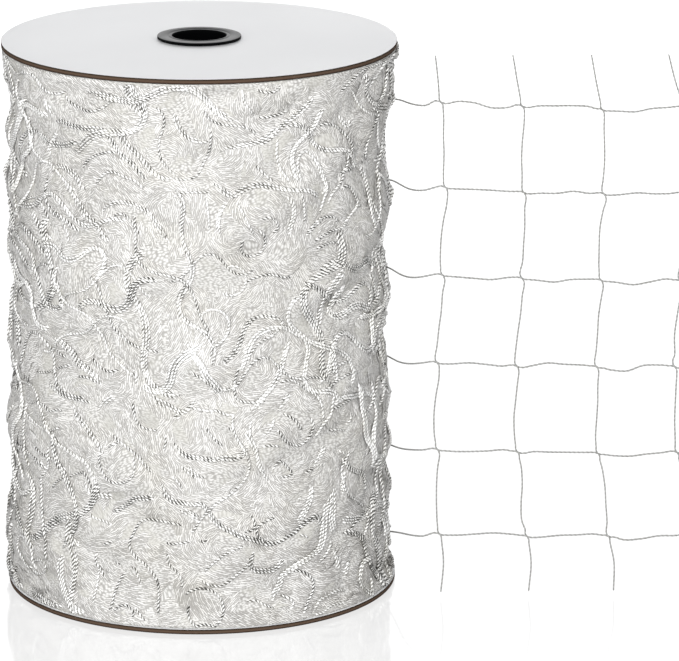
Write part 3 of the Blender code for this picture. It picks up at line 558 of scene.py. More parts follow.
def twine_material(name, light, mid, deep, depth, stops=(0.20, 0.42, 0.68), warm=(0.88, 0.865, 0.81), tone_and_glint_spread=0.16, plies=2.0, shade=1.0):
    """White twine of a few plies: slanting crests along it, with painted shade in the slits between them and fine
    fibres on them. shade scales the painted shade that greys the roll's lowest turns in patches, and any shade but 0
    also paints more ply contrast at the roll's sides and bottom; 0 leaves both out.
    """
    n = Nodes(name)
    uv = n.add("ShaderNodeUVMap", uv_map="twine")
    sep = n.add("ShaderNodeSeparateXYZ")
    n.link(uv.outputs[0], sep.inputs[0])
    along = n.math("ADD", n.math("ADD", sep.outputs[0], 40.0), n.math("MULTIPLY", sep.outputs[1], plies))
    # 1 on a ply's crest and 0 in the slit between two of them
    crest = n.math("ADD", 0.5, n.math("MULTIPLY", n.math("COSINE", n.math("MULTIPLY", along, TAU)), 0.5))
    which = n.add("ShaderNodeCombineXYZ")
    n.link(n.math("FLOOR", n.math("ADD", along, 0.5)), which.inputs[0])
    n.link(n.math("FLOOR", n.math("MULTIPLY", sep.outputs[0], 0.5)), which.inputs[1])
    own = n.add("ShaderNodeTexWhiteNoise", noise_dimensions="2D")
    n.link(which.outputs[0], own.inputs["Vector"])
    fibre = n.math("SINE", n.math("MULTIPLY", n.math("ADD", n.math("MULTIPLY", sep.outputs[1], 19.0), n.math("MULTIPLY", sep.outputs[0], 1.5)), TAU))
    grain = n.noise(1900.0, 2.0, 0.6)
    patches = n.noise(48.0, 3.0, 0.6)
    height = n.math("ADD", n.math("POWER", crest, 0.7), n.math("ADD", n.math("MULTIPLY", fibre, 0.05), n.math("MULTIPLY", grain, 0.25)))
    n.link(n.bump(height, depth, 1.0), n.bsdf.inputs["Normal"])
    # partly painted glints: each crest's own random brightness is partly the twine's uneven tone and partly painted
    # highlights on some plies
    level = n.math("ADD", crest, n.math("ADD", n.math("MULTIPLY", n.math("SUBTRACT", grain, 0.5), 0.30), n.math("MULTIPLY", n.math("SUBTRACT", own.outputs["Value"], 0.6), tone_and_glint_spread * 2)))
    if shade:
        up = n.add("ShaderNodeSeparateXYZ")
        n.link(n.coords().outputs["Object"], up.inputs[0])
        # painted shade: the twine greys towards the roll's bottom in patches, standing in for the shade that falls on
        # its lowest turns
        low = n.math("SUBTRACT", 1.0, n.math("DIVIDE", up.outputs[2], 0.090), clamp=True)
        painted_low_shade = n.math("ADD", 0.04, n.math("MULTIPLY", n.ramp(n.noise(62.0, 2.0, 0.5), ((0.46, (0, 0, 0)), (0.64, (1, 1, 1)))), 0.42))
        level = n.math("SUBTRACT", level, n.math("MULTIPLY", n.math("MULTIPLY", low, painted_low_shade), shade), clamp=True)
        # painted light and shade: the plies' contrast is raised at the roll's sides and bottom over its middle,
        # standing in for raking light there
        across = n.math("DIVIDE", n.math("ABSOLUTE", n.math("SUBTRACT", up.outputs[0], SPOOL_X)), 0.045, clamp=True)
        painted_ply_contrast = n.math("ADD", 0.72, n.math("ADD", n.math("MULTIPLY", across, 0.39), n.math("MULTIPLY", low, 0.16)))
        level = n.math("ADD", 0.48, n.math("MULTIPLY", n.math("SUBTRACT", level, 0.48), painted_ply_contrast))
    # painted shade: the ramp runs from the crests' light tone down to the deep tone in the slits, which stands for the
    # shade between the plies
    tone = n.ramp(level, ((0.0, deep), (stops[0], deep), (stops[1], mid), (stops[2], light)))
    tone = n.mix(n.math("MULTIPLY", n.ramp(patches, ((0.45, (0, 0, 0)), (0.70, (1, 1, 1)))), 0.5), tone, warm, "MULTIPLY")
    n.link(tone, n.bsdf.inputs["Base Color"])
    n.link(n.math("ADD", 0.20, n.math("MULTIPLY", n.math("ADD", grain, own.outputs["Value"]), 0.16)), n.bsdf.inputs["Roughness"])
    n.set(**{"Specular IOR Level": 0.5})
    return n.mat


def net_base_material():
    """The net's under layers, seen between the twine: rows of fine twine and smooth, slightly cream patches."""
    n = Nodes("net_under")
    uv = n.add("ShaderNodeUVMap", uv_map="twine")
    coords = n.coords().outputs["Object"]
    swirl = n.add("ShaderNodeTexNoise")
    swirl.inputs["Scale"].default_value = 28.0
    swirl.inputs["Detail"].default_value = 1.0
    n.link(coords, swirl.inputs["Vector"])
    sep = n.add("ShaderNodeSeparateXYZ")
    n.link(uv.outputs[0], sep.inputs[0])
    # rows of short slanting grains, as twine shows between its plies, that bend with the noise
    bent = n.math("ADD", sep.outputs[1], n.math("MULTIPLY", swirl.outputs["Fac"], 22.0))
    row = n.math("ABSOLUTE", n.math("SINE", n.math("MULTIPLY", bent, math.pi)))
    place = n.add("ShaderNodeCombineXYZ")
    n.link(n.math("ADD", n.math("MULTIPLY", sep.outputs[0], 1.05), n.math("MULTIPLY", bent, 0.45)), place.inputs[0])
    n.link(n.math("MULTIPLY", bent, 2.1), place.inputs[1])
    cells = n.add("ShaderNodeTexVoronoi", voronoi_dimensions="2D", feature="F1")
    cells.inputs["Scale"].default_value = 1.0
    cells.inputs["Randomness"].default_value = 0.75
    n.link(place.outputs[0], cells.inputs["Vector"])
    grain = n.math("SUBTRACT", 1.0, n.math("MULTIPLY", cells.outputs["Distance"], 1.35), clamp=True)
    patch = n.noise(75.0, 2.0, 0.5)
    smooth_patch = n.math("MULTIPLY", n.ramp(patch, ((0.50, (0, 0, 0)), (0.62, (1, 1, 1)))), 0.52)
    height = n.math("MULTIPLY", n.math("ADD", n.math("MULTIPLY", grain, 0.75), n.math("MULTIPLY", row, 0.25)), n.math("SUBTRACT", 1.0, n.math("MULTIPLY", smooth_patch, 0.8)))
    n.link(n.bump(height, 0.00022, 1.0), n.bsdf.inputs["Normal"])
    # painted shade: the grains' darkest tone, between them, stands for the shade in the gaps among the fine twine
    grains = n.ramp(n.math("ADD", grain, n.math("MULTIPLY", n.math("SUBTRACT", n.noise(900.0, 2.0, 0.5), 0.5), 0.3)), (
        (0.12, (0.40, 0.388, 0.37)), (0.45, (0.57, 0.561, 0.54)), (0.72, (0.78, 0.774, 0.755))))
    colour = n.mix(smooth_patch, grains, (0.55, 0.540, 0.495))
    n.link(colour, n.bsdf.inputs["Base Color"])
    n.link(n.math("ADD", 0.35, n.math("MULTIPLY", patch, 0.25)), n.bsdf.inputs["Roughness"])
    return n.mat


def paper_material():
    """The board's smooth white paper: faint fibres and light handling marks."""
    n = Nodes("board_paper")
    fine = n.noise(900.0, 4.0, 0.6)
    broad = n.noise(9.0, 3.0, 0.5)
    marks = n.noise(60.0, 6.0, 0.75)
    colour = n.mix(n.ramp(broad, ((0.35, (0, 0, 0)), (0.7, (1, 1, 1)))), (0.790, 0.795, 0.805), (0.765, 0.770, 0.782))
    colour = n.mix(n.ramp(marks, ((0.66, (0, 0, 0)), (0.86, (1, 1, 1)))), colour, (0.70, 0.70, 0.705))
    n.link(colour, n.bsdf.inputs["Base Color"])
    n.link(n.bump(fine, 0.00003, 0.7), n.bsdf.inputs["Normal"])
    n.link(n.math("ADD", 0.42, n.math("MULTIPLY", broad, 0.16)), n.bsdf.inputs["Roughness"])
    return n.mat


def edge_material():
    """The board's bare cut edge: brown pressed fibre in layers, darkest where the paper meets it, partly the edge's own
    tone and partly painted shade where the net lies on the board.
    """
    n = Nodes("board_edge")
    coords = n.coords().outputs["Object"]
    sep = n.add("ShaderNodeSeparateXYZ")
    n.link(coords, sep.inputs[0])
    # height above the board's own lower face, the same for both boards
    up = n.math("MODULO", n.math("SUBTRACT", sep.outputs[2], 0.0), HEIGHT - FLANGE_T)
    share = n.math("DIVIDE", up, FLANGE_T, clamp=True)
    stretch = n.add("ShaderNodeMapping")
    n.link(coords, stretch.inputs[0])
    stretch.inputs["Scale"].default_value = (60.0, 60.0, 2600.0)
    strands = n.noise(1.0, 5.0, 0.7, stretch.outputs[0])
    specks = n.noise(420.0, 3.0, 0.7)
    # partly painted shade: the near-black bands by both paper faces stand for the shade where the net meets the board,
    # on top of the edge's own layered tone
    layer = n.ramp(share, (
        (0.0, (0.016, 0.010, 0.007)), (0.14, (0.024, 0.016, 0.011)), (0.26, (0.060, 0.037, 0.025)), (0.48, (0.114, 0.076, 0.053)),
        (0.60, (0.096, 0.062, 0.043)), (0.76, (0.058, 0.036, 0.024)), (0.86, (0.020, 0.013, 0.009)), (1.0, (0.014, 0.009, 0.006)),
    ))
    colour = n.mix(n.ramp(strands, ((0.35, (0, 0, 0)), (0.7, (1, 1, 1)))), layer, n.mix(0.25, layer, (0.10, 0.072, 0.052)))
    colour = n.mix(n.ramp(specks, ((0.66, (0, 0, 0)), (0.80, (1, 1, 1)))), colour, (0.17, 0.125, 0.10))
    n.link(colour, n.bsdf.inputs["Base Color"])
    n.link(n.bump(strands, 0.00012, 0.8), n.bsdf.inputs["Normal"])
    n.link(n.math("ADD", 0.72, n.math("MULTIPLY", specks, 0.2)), n.bsdf.inputs["Roughness"])
    n.set(**{"Specular IOR Level": 0.12})
    return n.mat


def plastic_material(name, tone, rough, shine):
    """Moulded black plastic with fine turning marks and a little dust."""
    n = Nodes(name)
    fine = n.noise(700.0, 3.0, 0.6)
    dust = n.noise(240.0, 5.0, 0.8)
    colour = n.mix(n.ramp(dust, ((0.60, (0, 0, 0)), (0.80, (1, 1, 1)))), (tone, tone * 1.05, tone * 1.2), (tone * 4, tone * 4.1, tone * 4.4))
    n.link(colour, n.bsdf.inputs["Base Color"])
    n.link(n.bump(fine, 0.00002, 0.6), n.bsdf.inputs["Normal"])
    n.link(n.math("ADD", rough, n.math("MULTIPLY", dust, 0.16)), n.bsdf.inputs["Roughness"])
    n.set(**{"Specular IOR Level": shine})
    return n.mat


def floor_material():
    n = Nodes("floor")
    n.set(**{"Base Color": (0.22, 0.22, 0.22, 1), "Roughness": 0.08, "Specular IOR Level": 0.5,
             "Emission Color": (1.0, 1.0, 1.0, 1), "Emission Strength": 0.66})
    return n.mat


def backdrop_material():
    n = Nodes("backdrop")
    n.set(**{"Base Color": (0.5, 0.5, 0.5, 1), "Roughness": 0.8, "Emission Color": (1.0, 1.0, 1.0, 1), "Emission Strength": 1.05})
    return n.mat


# ---------------------------------------------------------------- the roll's twine, laid out on the unrolled map
STEP = 0.0008
TURN = TAU * NET_R
LOW_Z, HIGH_Z = NET_LOW + 0.00095, NET_HIGH - 0.00095


def blurred(table, sigma):
    """A Gaussian blur of a map of the unrolled roll; sigma in metres."""
    pad = 64
    t = np.pad(table, ((pad, pad), (0, 0)), mode="reflect")
    fz = np.fft.fftfreq(t.shape[0], CELL)[:, None]
    fs = np.fft.rfftfreq(t.shape[1], CELL_S)[None, :]
    out = np.fft.irfft2(np.fft.rfft2(t) * np.exp(-2 * (math.pi * sigma) ** 2 * (fz * fz + fs * fs)), s=t.shape)
    return out[pad:-pad]


class Roll:
    """A map of how high the net stands over the roll's axis, which grows as twine is laid on it."""

    def __init__(self, seed):
        self.rng = np.random.default_rng(seed)
        s = np.arange(NS) / NS * TAU
        z = NET_LOW + np.arange(NZ) * CELL
        rim = np.exp(-((np.minimum(z - NET_LOW, NET_HIGH - z) / 0.0030) ** 2))[:, None]
        self.form = net_radius(s[None, :], z[:, None]) * (1 - rim) + (FLANGE_R - 0.0007) * rim
        self.far = np.full((NZ, NS), FAR_MOST)  # how far the nearest cord is

    def crease(self, line):
        """Takes a cord's line into the map of how far the cords are."""
        reach = int(FAR_MOST / CELL)
        fi, fj = (line[:, 1] - NET_LOW) / CELL, line[:, 0] / CELL_S
        ci, cj = np.round(fi).astype(int), np.round(fj).astype(int)
        for di in range(-reach, reach + 1):
            for dj in range(-reach, reach + 1):
                i, j = ci + di, cj + dj
                d2 = ((i - fi) ** 2 + (j - fj) ** 2) * CELL * CELL
                ok = (d2 < FAR_MOST * FAR_MOST) & (i >= 0) & (i < NZ)
                if ok.any():
                    np.minimum.at(self.far, (i[ok], j[ok] % NS), np.sqrt(d2[ok]))

    def settle(self):
        """The under layers, with furrows under the cords and swellings between them, and the way in which the twine runs."""
        z = NET_LOW + np.arange(NZ) * CELL
        far = blurred(self.far, 0.0009)
        small = noise_map(self.rng, 0.026, 0.010, 60, gain=1.0)
        relief = 0.00016 * small - CREASE * np.exp(-((far / CREASE_WIDE) ** 2)) + PILLOW * (1 - np.exp(-((far / PILLOW_WIDE) ** 2)))
        edge = np.minimum(np.arange(NZ), np.arange(NZ)[::-1]) * CELL
        self.base = self.form - UNDER * (1 - 0.80 * np.exp(-((edge / 0.0035) ** 2)))[:, None] + relief * (1 - np.exp(-edge / 0.004))[:, None]
        self.bare = np.zeros((NZ, NS), bool)
        s = np.arange(NS) * CELL_S
        for deg, mm, half in BARE:
            ds = (s - math.radians(deg) * NET_R + TURN / 2) % TURN - TURN / 2
            d = np.hypot(ds[None, :] / 1.25, z[:, None] - mm * MM) / (half * MM)
            self.bare |= d < 1
            self.base = np.where(d < 1.3, np.maximum(self.base, self.form - 0.0009 - 0.0007 * d**3), self.base)
        self.top = self.base.copy()
        wide = blurred(self.far, 0.0016)
        ds = (np.roll(wide, -1, 1) - np.roll(wide, 1, 1)) / 2
        dz = np.gradient(wide, axis=0)
        size = np.maximum(np.hypot(ds, dz), 1e-9)
        ts, tz = -dz / size, ds / size
        near = 1.1 * np.exp(-wide / 0.0065) * np.clip(size / (0.35 * CELL), 0, 1)
        low = np.exp(-((np.clip(z - NET_LOW, 0, None) / 0.050) ** 4))[:, None]
        high = np.exp(-(((NET_HIGH - z) / 0.040) ** 2))[:, None]
        lean = 1.5 * noise_map(self.rng, 0.110, 0.035, 40) * (1 - 0.85 * low) + 1.15 * high
        c2 = near * (ts * ts - tz * tz) + (0.42 + 0.5 * low) * np.cos(2 * lean)
        s2 = near * (2 * ts * tz) + (0.42 + 0.5 * low) * np.sin(2 * lean)
        self.flow = blurred(c2, 0.0022), blurred(s2, 0.0022)

    def along_flow(self, s, z, length):
        """A line through (s, z) along the way in which the twine runs there."""
        c2, s2 = self.flow
        halves = []
        for start in (0.0, math.pi):
            x, y, way, out = s, z, None, []
            for _ in range(int(length / 2 / STEP)):
                i = min(max(int((y - NET_LOW) / CELL), 0), NZ - 1)
                j = int(x / CELL_S) % NS
                t = 0.5 * math.atan2(s2[i, j], c2[i, j])
                if way is None:
                    way = t + start
                turn = (t - way + math.pi / 2) % math.pi - math.pi / 2
                way += min(max(turn, -0.13), 0.13)
                x += math.cos(way) * STEP
                y += math.sin(way) * STEP
                if not LOW_Z < y < HIGH_Z:
                    break
                out.append((x, y))
            halves.append(out)
        return np.array(halves[1][::-1] + [(s, z)] + halves[0])

    def read(self, table, s, z):
        """A smooth reading of a map at arrays of places."""
        fi = np.clip((z - NET_LOW) / CELL, 0, NZ - 1.001)
        fj = (s / CELL_S) % NS
        i, j = fi.astype(int), fj.astype(int)
        a, b = fi - i, fj - j
        j2 = (j + 1) % NS
        j = j % NS
        return (table[i, j] * (1 - a) + table[i + 1, j] * a) * (1 - b) + (table[i, j2] * (1 - a) + table[i + 1, j2] * a) * b

    def lay(self, line, radius, sunk, stiff, dive, proud=0.0018):
        """The height of twine along line (N, 2), laid over what is there."""
        s, z = line[:, 0], line[:, 1]
        low = self.read(self.top, s, z)
        h = smooth_line(highest_near(low, 1), stiff) + radius * (1 - sunk)
        h = np.maximum(h, low + radius * (0.85 - sunk))
        h = np.minimum(h, self.read(self.form, s, z) + proud - radius)
        h = np.maximum(h, self.read(self.base, s, z) - radius * 0.6)
        d = np.arange(len(s)) * STEP
        end = np.minimum(d, d[-1] - d)
        h = h - dive * np.exp(-((end / 0.0024) ** 2))
        self.press(s, z, h, radius)
        return h

    def press(self, s, z, h, radius):
        """Raises the map to the twine's upper side."""
        reach = int(math.ceil(radius / CELL))
        fi = (z - NET_LOW) / CELL
        fj = s / CELL_S
        ci, cj = np.round(fi).astype(int), np.round(fj).astype(int)
        for di in range(-reach, reach + 1):
            for dj in range(-reach, reach + 1):
                i, j = ci + di, cj + dj
                d2 = ((i - fi) ** 2 + (j - fj) ** 2) * CELL * CELL
                ok = (d2 < radius * radius) & (i >= 0) & (i < NZ)
                if ok.any():
                    np.maximum.at(self.top, (i[ok], j[ok] % NS), h[ok] + np.sqrt(radius * radius - d2[ok]))

    def bare_spot(self, tries):
        """Of some random places, the one with the least on it."""
        s, z = self.rng.uniform(0, TURN, tries), self.rng.uniform(LOW_Z, HIGH_Z, tries)
        cover = np.zeros(tries)
        for ds, dz in ((0, 0), (0.004, 0), (-0.004, 0), (0, 0.004), (0, -0.004), (0.007, 0.007), (-0.007, 0.007), (0.007, -0.007), (-0.007, -0.007)):
            cover += self.read(self.top, s + ds, np.clip(z + dz, LOW_Z, HIGH_Z)) - self.read(self.base, s + ds, np.clip(z + dz, LOW_Z, HIGH_Z))
        k = int(cover.argmin())
        return s[k], z[k]


def side_of(line):
    along = np.gradient(line, axis=0)
    along /= np.maximum(np.linalg.norm(along, axis=1), 1e-12)[:, None]
    return np.stack([-along[:, 1], along[:, 0]], 1)


def held_in(line):
    """Keeps a line between the boards: it turns back from them, and runs along them at the end."""
    z = line[:, 1]
    z = np.where(z < LOW_Z, 2 * LOW_Z - z, z)
    z = np.where(z > HIGH_Z, 2 * HIGH_Z - z, z)
    out = line.copy()
    out[:, 1] = np.clip(z, LOW_Z, HIGH_Z)
    return out


def course(rng, s, z, way, length, waves, swing, curl=0.0):
    """A line from (s, z) in both directions, whose heading swings about: waves are wave lengths, swing in radians."""
    n = max(8, int(length / STEP))
    d = (np.arange(n) - n / 2) * STEP
    heading = np.full(n, way) + curl * d
    for wave in waves:
        wave = wave * rng.uniform(0.7, 1.4)
        heading = heading + swing * rng.uniform(0.5, 1.0) * np.sin(TAU * d / wave + rng.uniform(0, TAU))
    x, y = np.cumsum(np.cos(heading)) * STEP, np.cumsum(np.sin(heading)) * STEP
    k = n // 2
    return np.stack([s + x - x[k], z + y - y[k]], 1)


def bundle(rng, line, count, spacing, loose, fray, crinkle=0.0):
    """Strands side by side along a line. loose is how far they drift, fray how unevenly they end, crinkle how far each one wriggles."""
    side = side_of(line)
    d = np.arange(len(line)) * STEP
    drift = rng.uniform(0, TAU)
    out = []
    for k in range(count):
        off = (k - (count - 1) / 2) * spacing * (1 + 0.20 * np.sin(TAU * d / 0.045 + drift))
        for wave in (0.045, 0.019):
            off = off + loose * rng.uniform(0.4, 1.0) * np.sin(TAU * d / (wave * rng.uniform(0.7, 1.4)) + rng.uniform(0, TAU))
        if crinkle:
            off = off + crinkle * (0.60 * np.sin(TAU * d / rng.uniform(0.0055, 0.0085) + rng.uniform(0, TAU))
                                   + 0.55 * np.sin(TAU * d / rng.uniform(0.009, 0.017) + rng.uniform(0, TAU)))
        a, b = (int(v / STEP) for v in rng.uniform(0, fray, 2))
        one = (line + side * off[:, None])[a : len(line) - b]
        if len(one) < 8:
            continue
        one = resampled(held_in(one), STEP)
        if len(one) >= 8:
            out.append(one)
    return out


def field_layer(roll, metres, counts, lengths, spacing, loose, fray, crinkle, radius, sunk, stiff, dive, tries, astray):
    """Rows of twine along the way in which it runs, and some astray, until enough of it is laid."""
    rng = roll.rng
    out, total = [], 0.0
    while total < metres:
        s, z = roll.bare_spot(tries)
        length = rng.uniform(*lengths)
        if rng.uniform() < astray:
            line = course(rng, s, z, rng.uniform(0, TAU), length, (0.070, 0.032), 0.7)
        else:
            line = roll.along_flow(s, z, length)
        if len(line) < 8:
            continue
        for one in bundle(rng, line, int(rng.choice(counts)), spacing, loose, fray, crinkle):
            r = radius * rng.uniform(0.88, 1.12)
            h = roll.lay(one, r, sunk, stiff, dive)
            out.append((one, h, r, rng.uniform(0, 9)))
            total += len(one) * STEP
    return out, total


def free_cords(roll, gap, front_gap, tries, stop):
    """Lines of cords wherever the nearest cord is far: long bows, and now and then a loop."""
    rng = roll.rng
    lines, misses = [], 0
    while misses < stop:
        s, z = rng.uniform(0, TURN, tries), rng.uniform(LOW_Z, HIGH_Z, tries)
        far = roll.read(roll.far, s, z)
        deg = np.degrees(s / NET_R)
        shown = (deg > 205) & (deg < 335) & ((z < 0.146) | (z > 0.176))
        far = far - np.where(shown, front_gap - gap, 0.0)
        k = int(far.argmax())
        if far[k] < gap:
            misses += 1
            continue
        if rng.uniform() < 0.16:
            size = rng.uniform(0.0045, 0.0095)
            line = course(rng, s[k], z[k], rng.uniform(0, TAU), size * rng.uniform(4.0, 7.0), (0.05,), 0.3, rng.choice((-1, 1)) / size)
            count = 1
        else:
            line = course(rng, s[k], z[k], rng.uniform(0, TAU), rng.uniform(0.030, 0.105), (0.120, 0.048), 0.80, rng.uniform(-18, 18))
            count = int(rng.choice((1, 1, 1, 2, 2, 3)))
        line = resampled(held_in(line), STEP)
        roll.crease(line)
        lines.append((rng.choice(("d", "m", "w")), count, line))
    return lines


def cord_lines():
    """The cords of the roll's front, as lines on the unrolled map."""
    out = []
    for kind, count, flat in CORDS:
        p = np.array(flat, float).reshape(-1, 2)
        line = spline(np.stack([np.radians(p[:, 0]) * NET_R, p[:, 1] * MM], 1), 8)
        line = resampled(line, STEP)
        out.append((kind, count, held_in(line)))
    return out


def seen_runs(roll, line, h, radius, least_shown):
    """The stretches of a strand that other twine doesn't cover, as slices."""
    side = side_of(line)
    least = np.full(len(line), 1e9)
    for off in (-0.9, 0.0, 0.9):
        at = line + side * (off * radius)
        own = h + radius * math.sqrt(max(0.0, 1 - off * off))
        least = np.minimum(least, roll.read(roll.top, at[:, 0], np.clip(at[:, 1], NET_LOW, NET_HIGH)) - own)
    i = np.clip(np.round((line[:, 1] - NET_LOW) / CELL).astype(int), 0, NZ - 1)
    j = np.round(line[:, 0] / CELL_S).astype(int) % NS
    seen = (least < least_shown) & ~roll.bare[i, j]
    seen = np.convolve(seen, np.ones(7), "same") > 0.5
    runs, start = [], None
    for k, v in enumerate(seen):
        if v and start is None:
            start = k
        elif not v and start is not None:
            runs.append((start, k))
            start = None
    if start is not None:
        runs.append((start, len(seen)))
    return [(a, b) for a, b in runs if b - a >= 5]


def build_roll():
    roll = Roll(20)
    lines = cord_lines()
    for _, _, line in lines:
        roll.crease(line)
    lines += free_cords(roll, 0.0070, 0.0076, 40, 60)
    roll.settle()
    lengths = {}
    low, lengths["low"] = field_layer(
        roll, LOW_METRES, (6, 7, 8), (0.025, 0.070), 0.00126, 0.00018, 0.008, 0.00030, FIELD_R, 1.58, 1.3, 0.0005, 14, 0.14)
    high, lengths["high"] = field_layer(
        roll, HIGH_METRES, (4, 5, 6, 7), (0.014, 0.050), 0.00130, 0.00022, 0.006, 0.00034, FIELD_R, 1.40, 1.3, 0.0006, 12, 0.26)
    cords, total = {"d": [], "m": [], "w": []}, 0.0
    for kind, count, line in lines:
        for one in bundle(roll.rng, line, count, 0.00120, 0.00010, 0.005 if count > 1 else 0.0):
            r = CORD_R * roll.rng.uniform(0.92, 1.08)
            h = roll.lay(one, r, 0.0 if kind == "w" else 0.15, 2.0, 0.0026)
            cords[kind].append((one, h, r, roll.rng.uniform(0, 9)))
            total += len(one) * STEP
    lengths["cords"] = total
    return roll, low, high, cords, lengths


LOW_METRES, HIGH_METRES = 76.0, 56.0
roll, low_strands, high_strands, cords, lengths = build_roll()


def thin(path, every):
    """The places of every nth ring, and of both ends."""
    n = len(path)
    keep = np.unique(np.r_[np.arange(0, n, every), n - 1])
    if len(keep) > 2 and keep[-1] - keep[-2] < every / 2:
        keep = np.delete(keep, -2)
    return keep


def placed(line, h):
    a = line[:, 0] / NET_R
    c, s = np.cos(a), np.sin(a)
    return np.stack([SPOOL_X + h * c, h * s, line[:, 1]], 1), np.stack([c, s, np.zeros_like(a)], 1)


# the under surface of the roll
STEP_S, STEP_Z = 4, 4
js = np.arange(0, NS, STEP_S)
js = js[: len(js) - (1 if NS - js[-1] < STEP_S / 2 else 0)]
iz = np.unique(np.r_[np.arange(0, NZ, STEP_Z), NZ - 1])
under = roll.base[np.ix_(iz, js)]
ang = js / NS * TAU
outer = np.stack([SPOOL_X + under * np.cos(ang)[None, :], under * np.sin(ang)[None, :], np.broadcast_to((NET_LOW + iz * CELL)[:, None], under.shape)], -1)
rows, cols = under.shape
inner_r = BARREL_R + GAP
ring = lambda z: np.stack([SPOOL_X + inner_r * np.cos(ang), inner_r * np.sin(ang), np.full(cols, z)], -1)
verts = np.vstack([outer.reshape(-1, 3), ring(NET_HIGH), ring(NET_LOW)])
i = np.arange(rows - 1)[:, None]
j = np.arange(cols)[None, :]
k = (j + 1) % cols
quads = [np.stack([i * cols + j, i * cols + k, (i + 1) * cols + k, (i + 1) * cols + j], -1).reshape(-1, 4)]
j = np.arange(cols)
k = (j + 1) % cols
up, down = rows * cols, (rows + 1) * cols
quads.append(np.stack([(rows - 1) * cols + j, (rows - 1) * cols + k, up + k, up + j], -1))
quads.append(np.stack([up + j, up + k, down + k, down + j], -1))
quads.append(np.stack([down + j, down + k, k, j], -1))
quads = np.vstack(quads)
place = np.zeros((len(verts), 2))
place[: rows * cols, 0] = np.broadcast_to(js * CELL / 0.0019, (rows, cols)).ravel()
place[: rows * cols, 1] = np.broadcast_to(((iz * CELL) / 0.0018)[:, None], (rows, cols)).ravel()
uvs = place[quads.ravel()].reshape(-1, 4, 2)
# the seam's faces go on past the turn's end
wrap = (uvs[:, :, 0].max(1) - uvs[:, :, 0].min(1)) > 50
fix = uvs[wrap]
fix[:, :, 0] = np.where(fix[:, :, 0] < 50, fix[:, :, 0] + round(TAU * NET_R / 0.0019), fix[:, :, 0])
uvs[wrap] = fix
base_obj = new_object("net_under_layers", verts, quads.ravel(), np.full(len(quads), 4), uvs.reshape(-1, 2))
base_obj.data.materials.append(net_base_material())

# painted shade: the deep tones given here are the shade in the slits between the plies, and for the cords the shade
# beside them too; near black for the d cords, lighter for m and w
twine_mat = twine_material("twine_field", (0.84, 0.834, 0.818), (0.60, 0.590, 0.573), (0.37, 0.359, 0.342), 0.00007, (0.06, 0.36, 0.80), tone_and_glint_spread=0.42, plies=4.0)
cord_mats = {
    "d": twine_material("twine_shade_painted_cords", (0.92, 0.918, 0.905), (0.62, 0.613, 0.59), (0.07, 0.067, 0.06), 0.00015, (0.13, 0.30, 0.55), tone_and_glint_spread=0.32),
    "m": twine_material("twine_cords", (0.95, 0.948, 0.94), (0.75, 0.743, 0.72), (0.15, 0.145, 0.13), 0.00014, (0.11, 0.26, 0.50), tone_and_glint_spread=0.32),
    "w": twine_material("twine_white_cords", (0.97, 0.97, 0.962), (0.90, 0.898, 0.885), (0.32, 0.313, 0.29), 0.00014, (0.09, 0.22, 0.42), tone_and_glint_spread=0.28),
}

pieces = [base_obj]


def strand_objects(name, strands, parts, sides, every, twisted, mat):
    for part in range(parts):
        tubes = Tubes(CORD_STITCH if twisted else STITCH)
        for line, h, radius, phase in strands[part::parts]:
            path, normal = placed(line, h if twisted else h + 0.60 * radius)
            for a, b in seen_runs(roll, line, h, radius, 0.00032 if twisted else 0.00020):
                if twisted:
                    run = path[a:b]
                    d = np.r_[0, np.cumsum(np.linalg.norm(np.diff(run, axis=0), axis=1))]
                    at = np.linspace(0, d[-1], max(3, int(round(d[-1] / every)) + 1))
                    both = np.hstack([run, normal[a:b]])
                    fine = np.stack([np.interp(at, d, both[:, k]) for k in range(6)], 1)
                    tubes.add(fine[:, :3], fine[:, 3:], radius, sides, True, phase)
                else:
                    keep = thin(path[a:b], every)
                    tubes.add(path[a:b][keep], normal[a:b][keep], radius, sides, False, phase, 0.32)
        obj = tubes.make(f"{name}_{part + 1}")
        if not twisted:
            obj.data.set_sharp_from_angle(angle=math.radians(60))  # flat twine: its two long edges
        obj.data.materials.append(mat)
        pieces.append(obj)
        counts[obj.name] = tubes.tris


counts = {}
strand_objects("net_low", low_strands, 2, 3, 3, False, twine_mat)
strand_objects("net_high", high_strands, 2, 3, 2, False, twine_mat)
for kind, label in (("d", "net_shade_painted_cords"), ("m", "net_cords"), ("w", "net_white_cords")):
    strand_objects(label, cords[kind], 1, 6, CORD_STITCH / 2, True, cord_mats[kind])
print("lengths", {k: round(v, 1) for k, v in lengths.items()}, "triangles", counts, sum(counts.values()))
for obj in pieces:
    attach(obj, "root")
    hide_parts("net_roll")

# ---------------------------------------------------------------- boards
PAPER = 0.00012


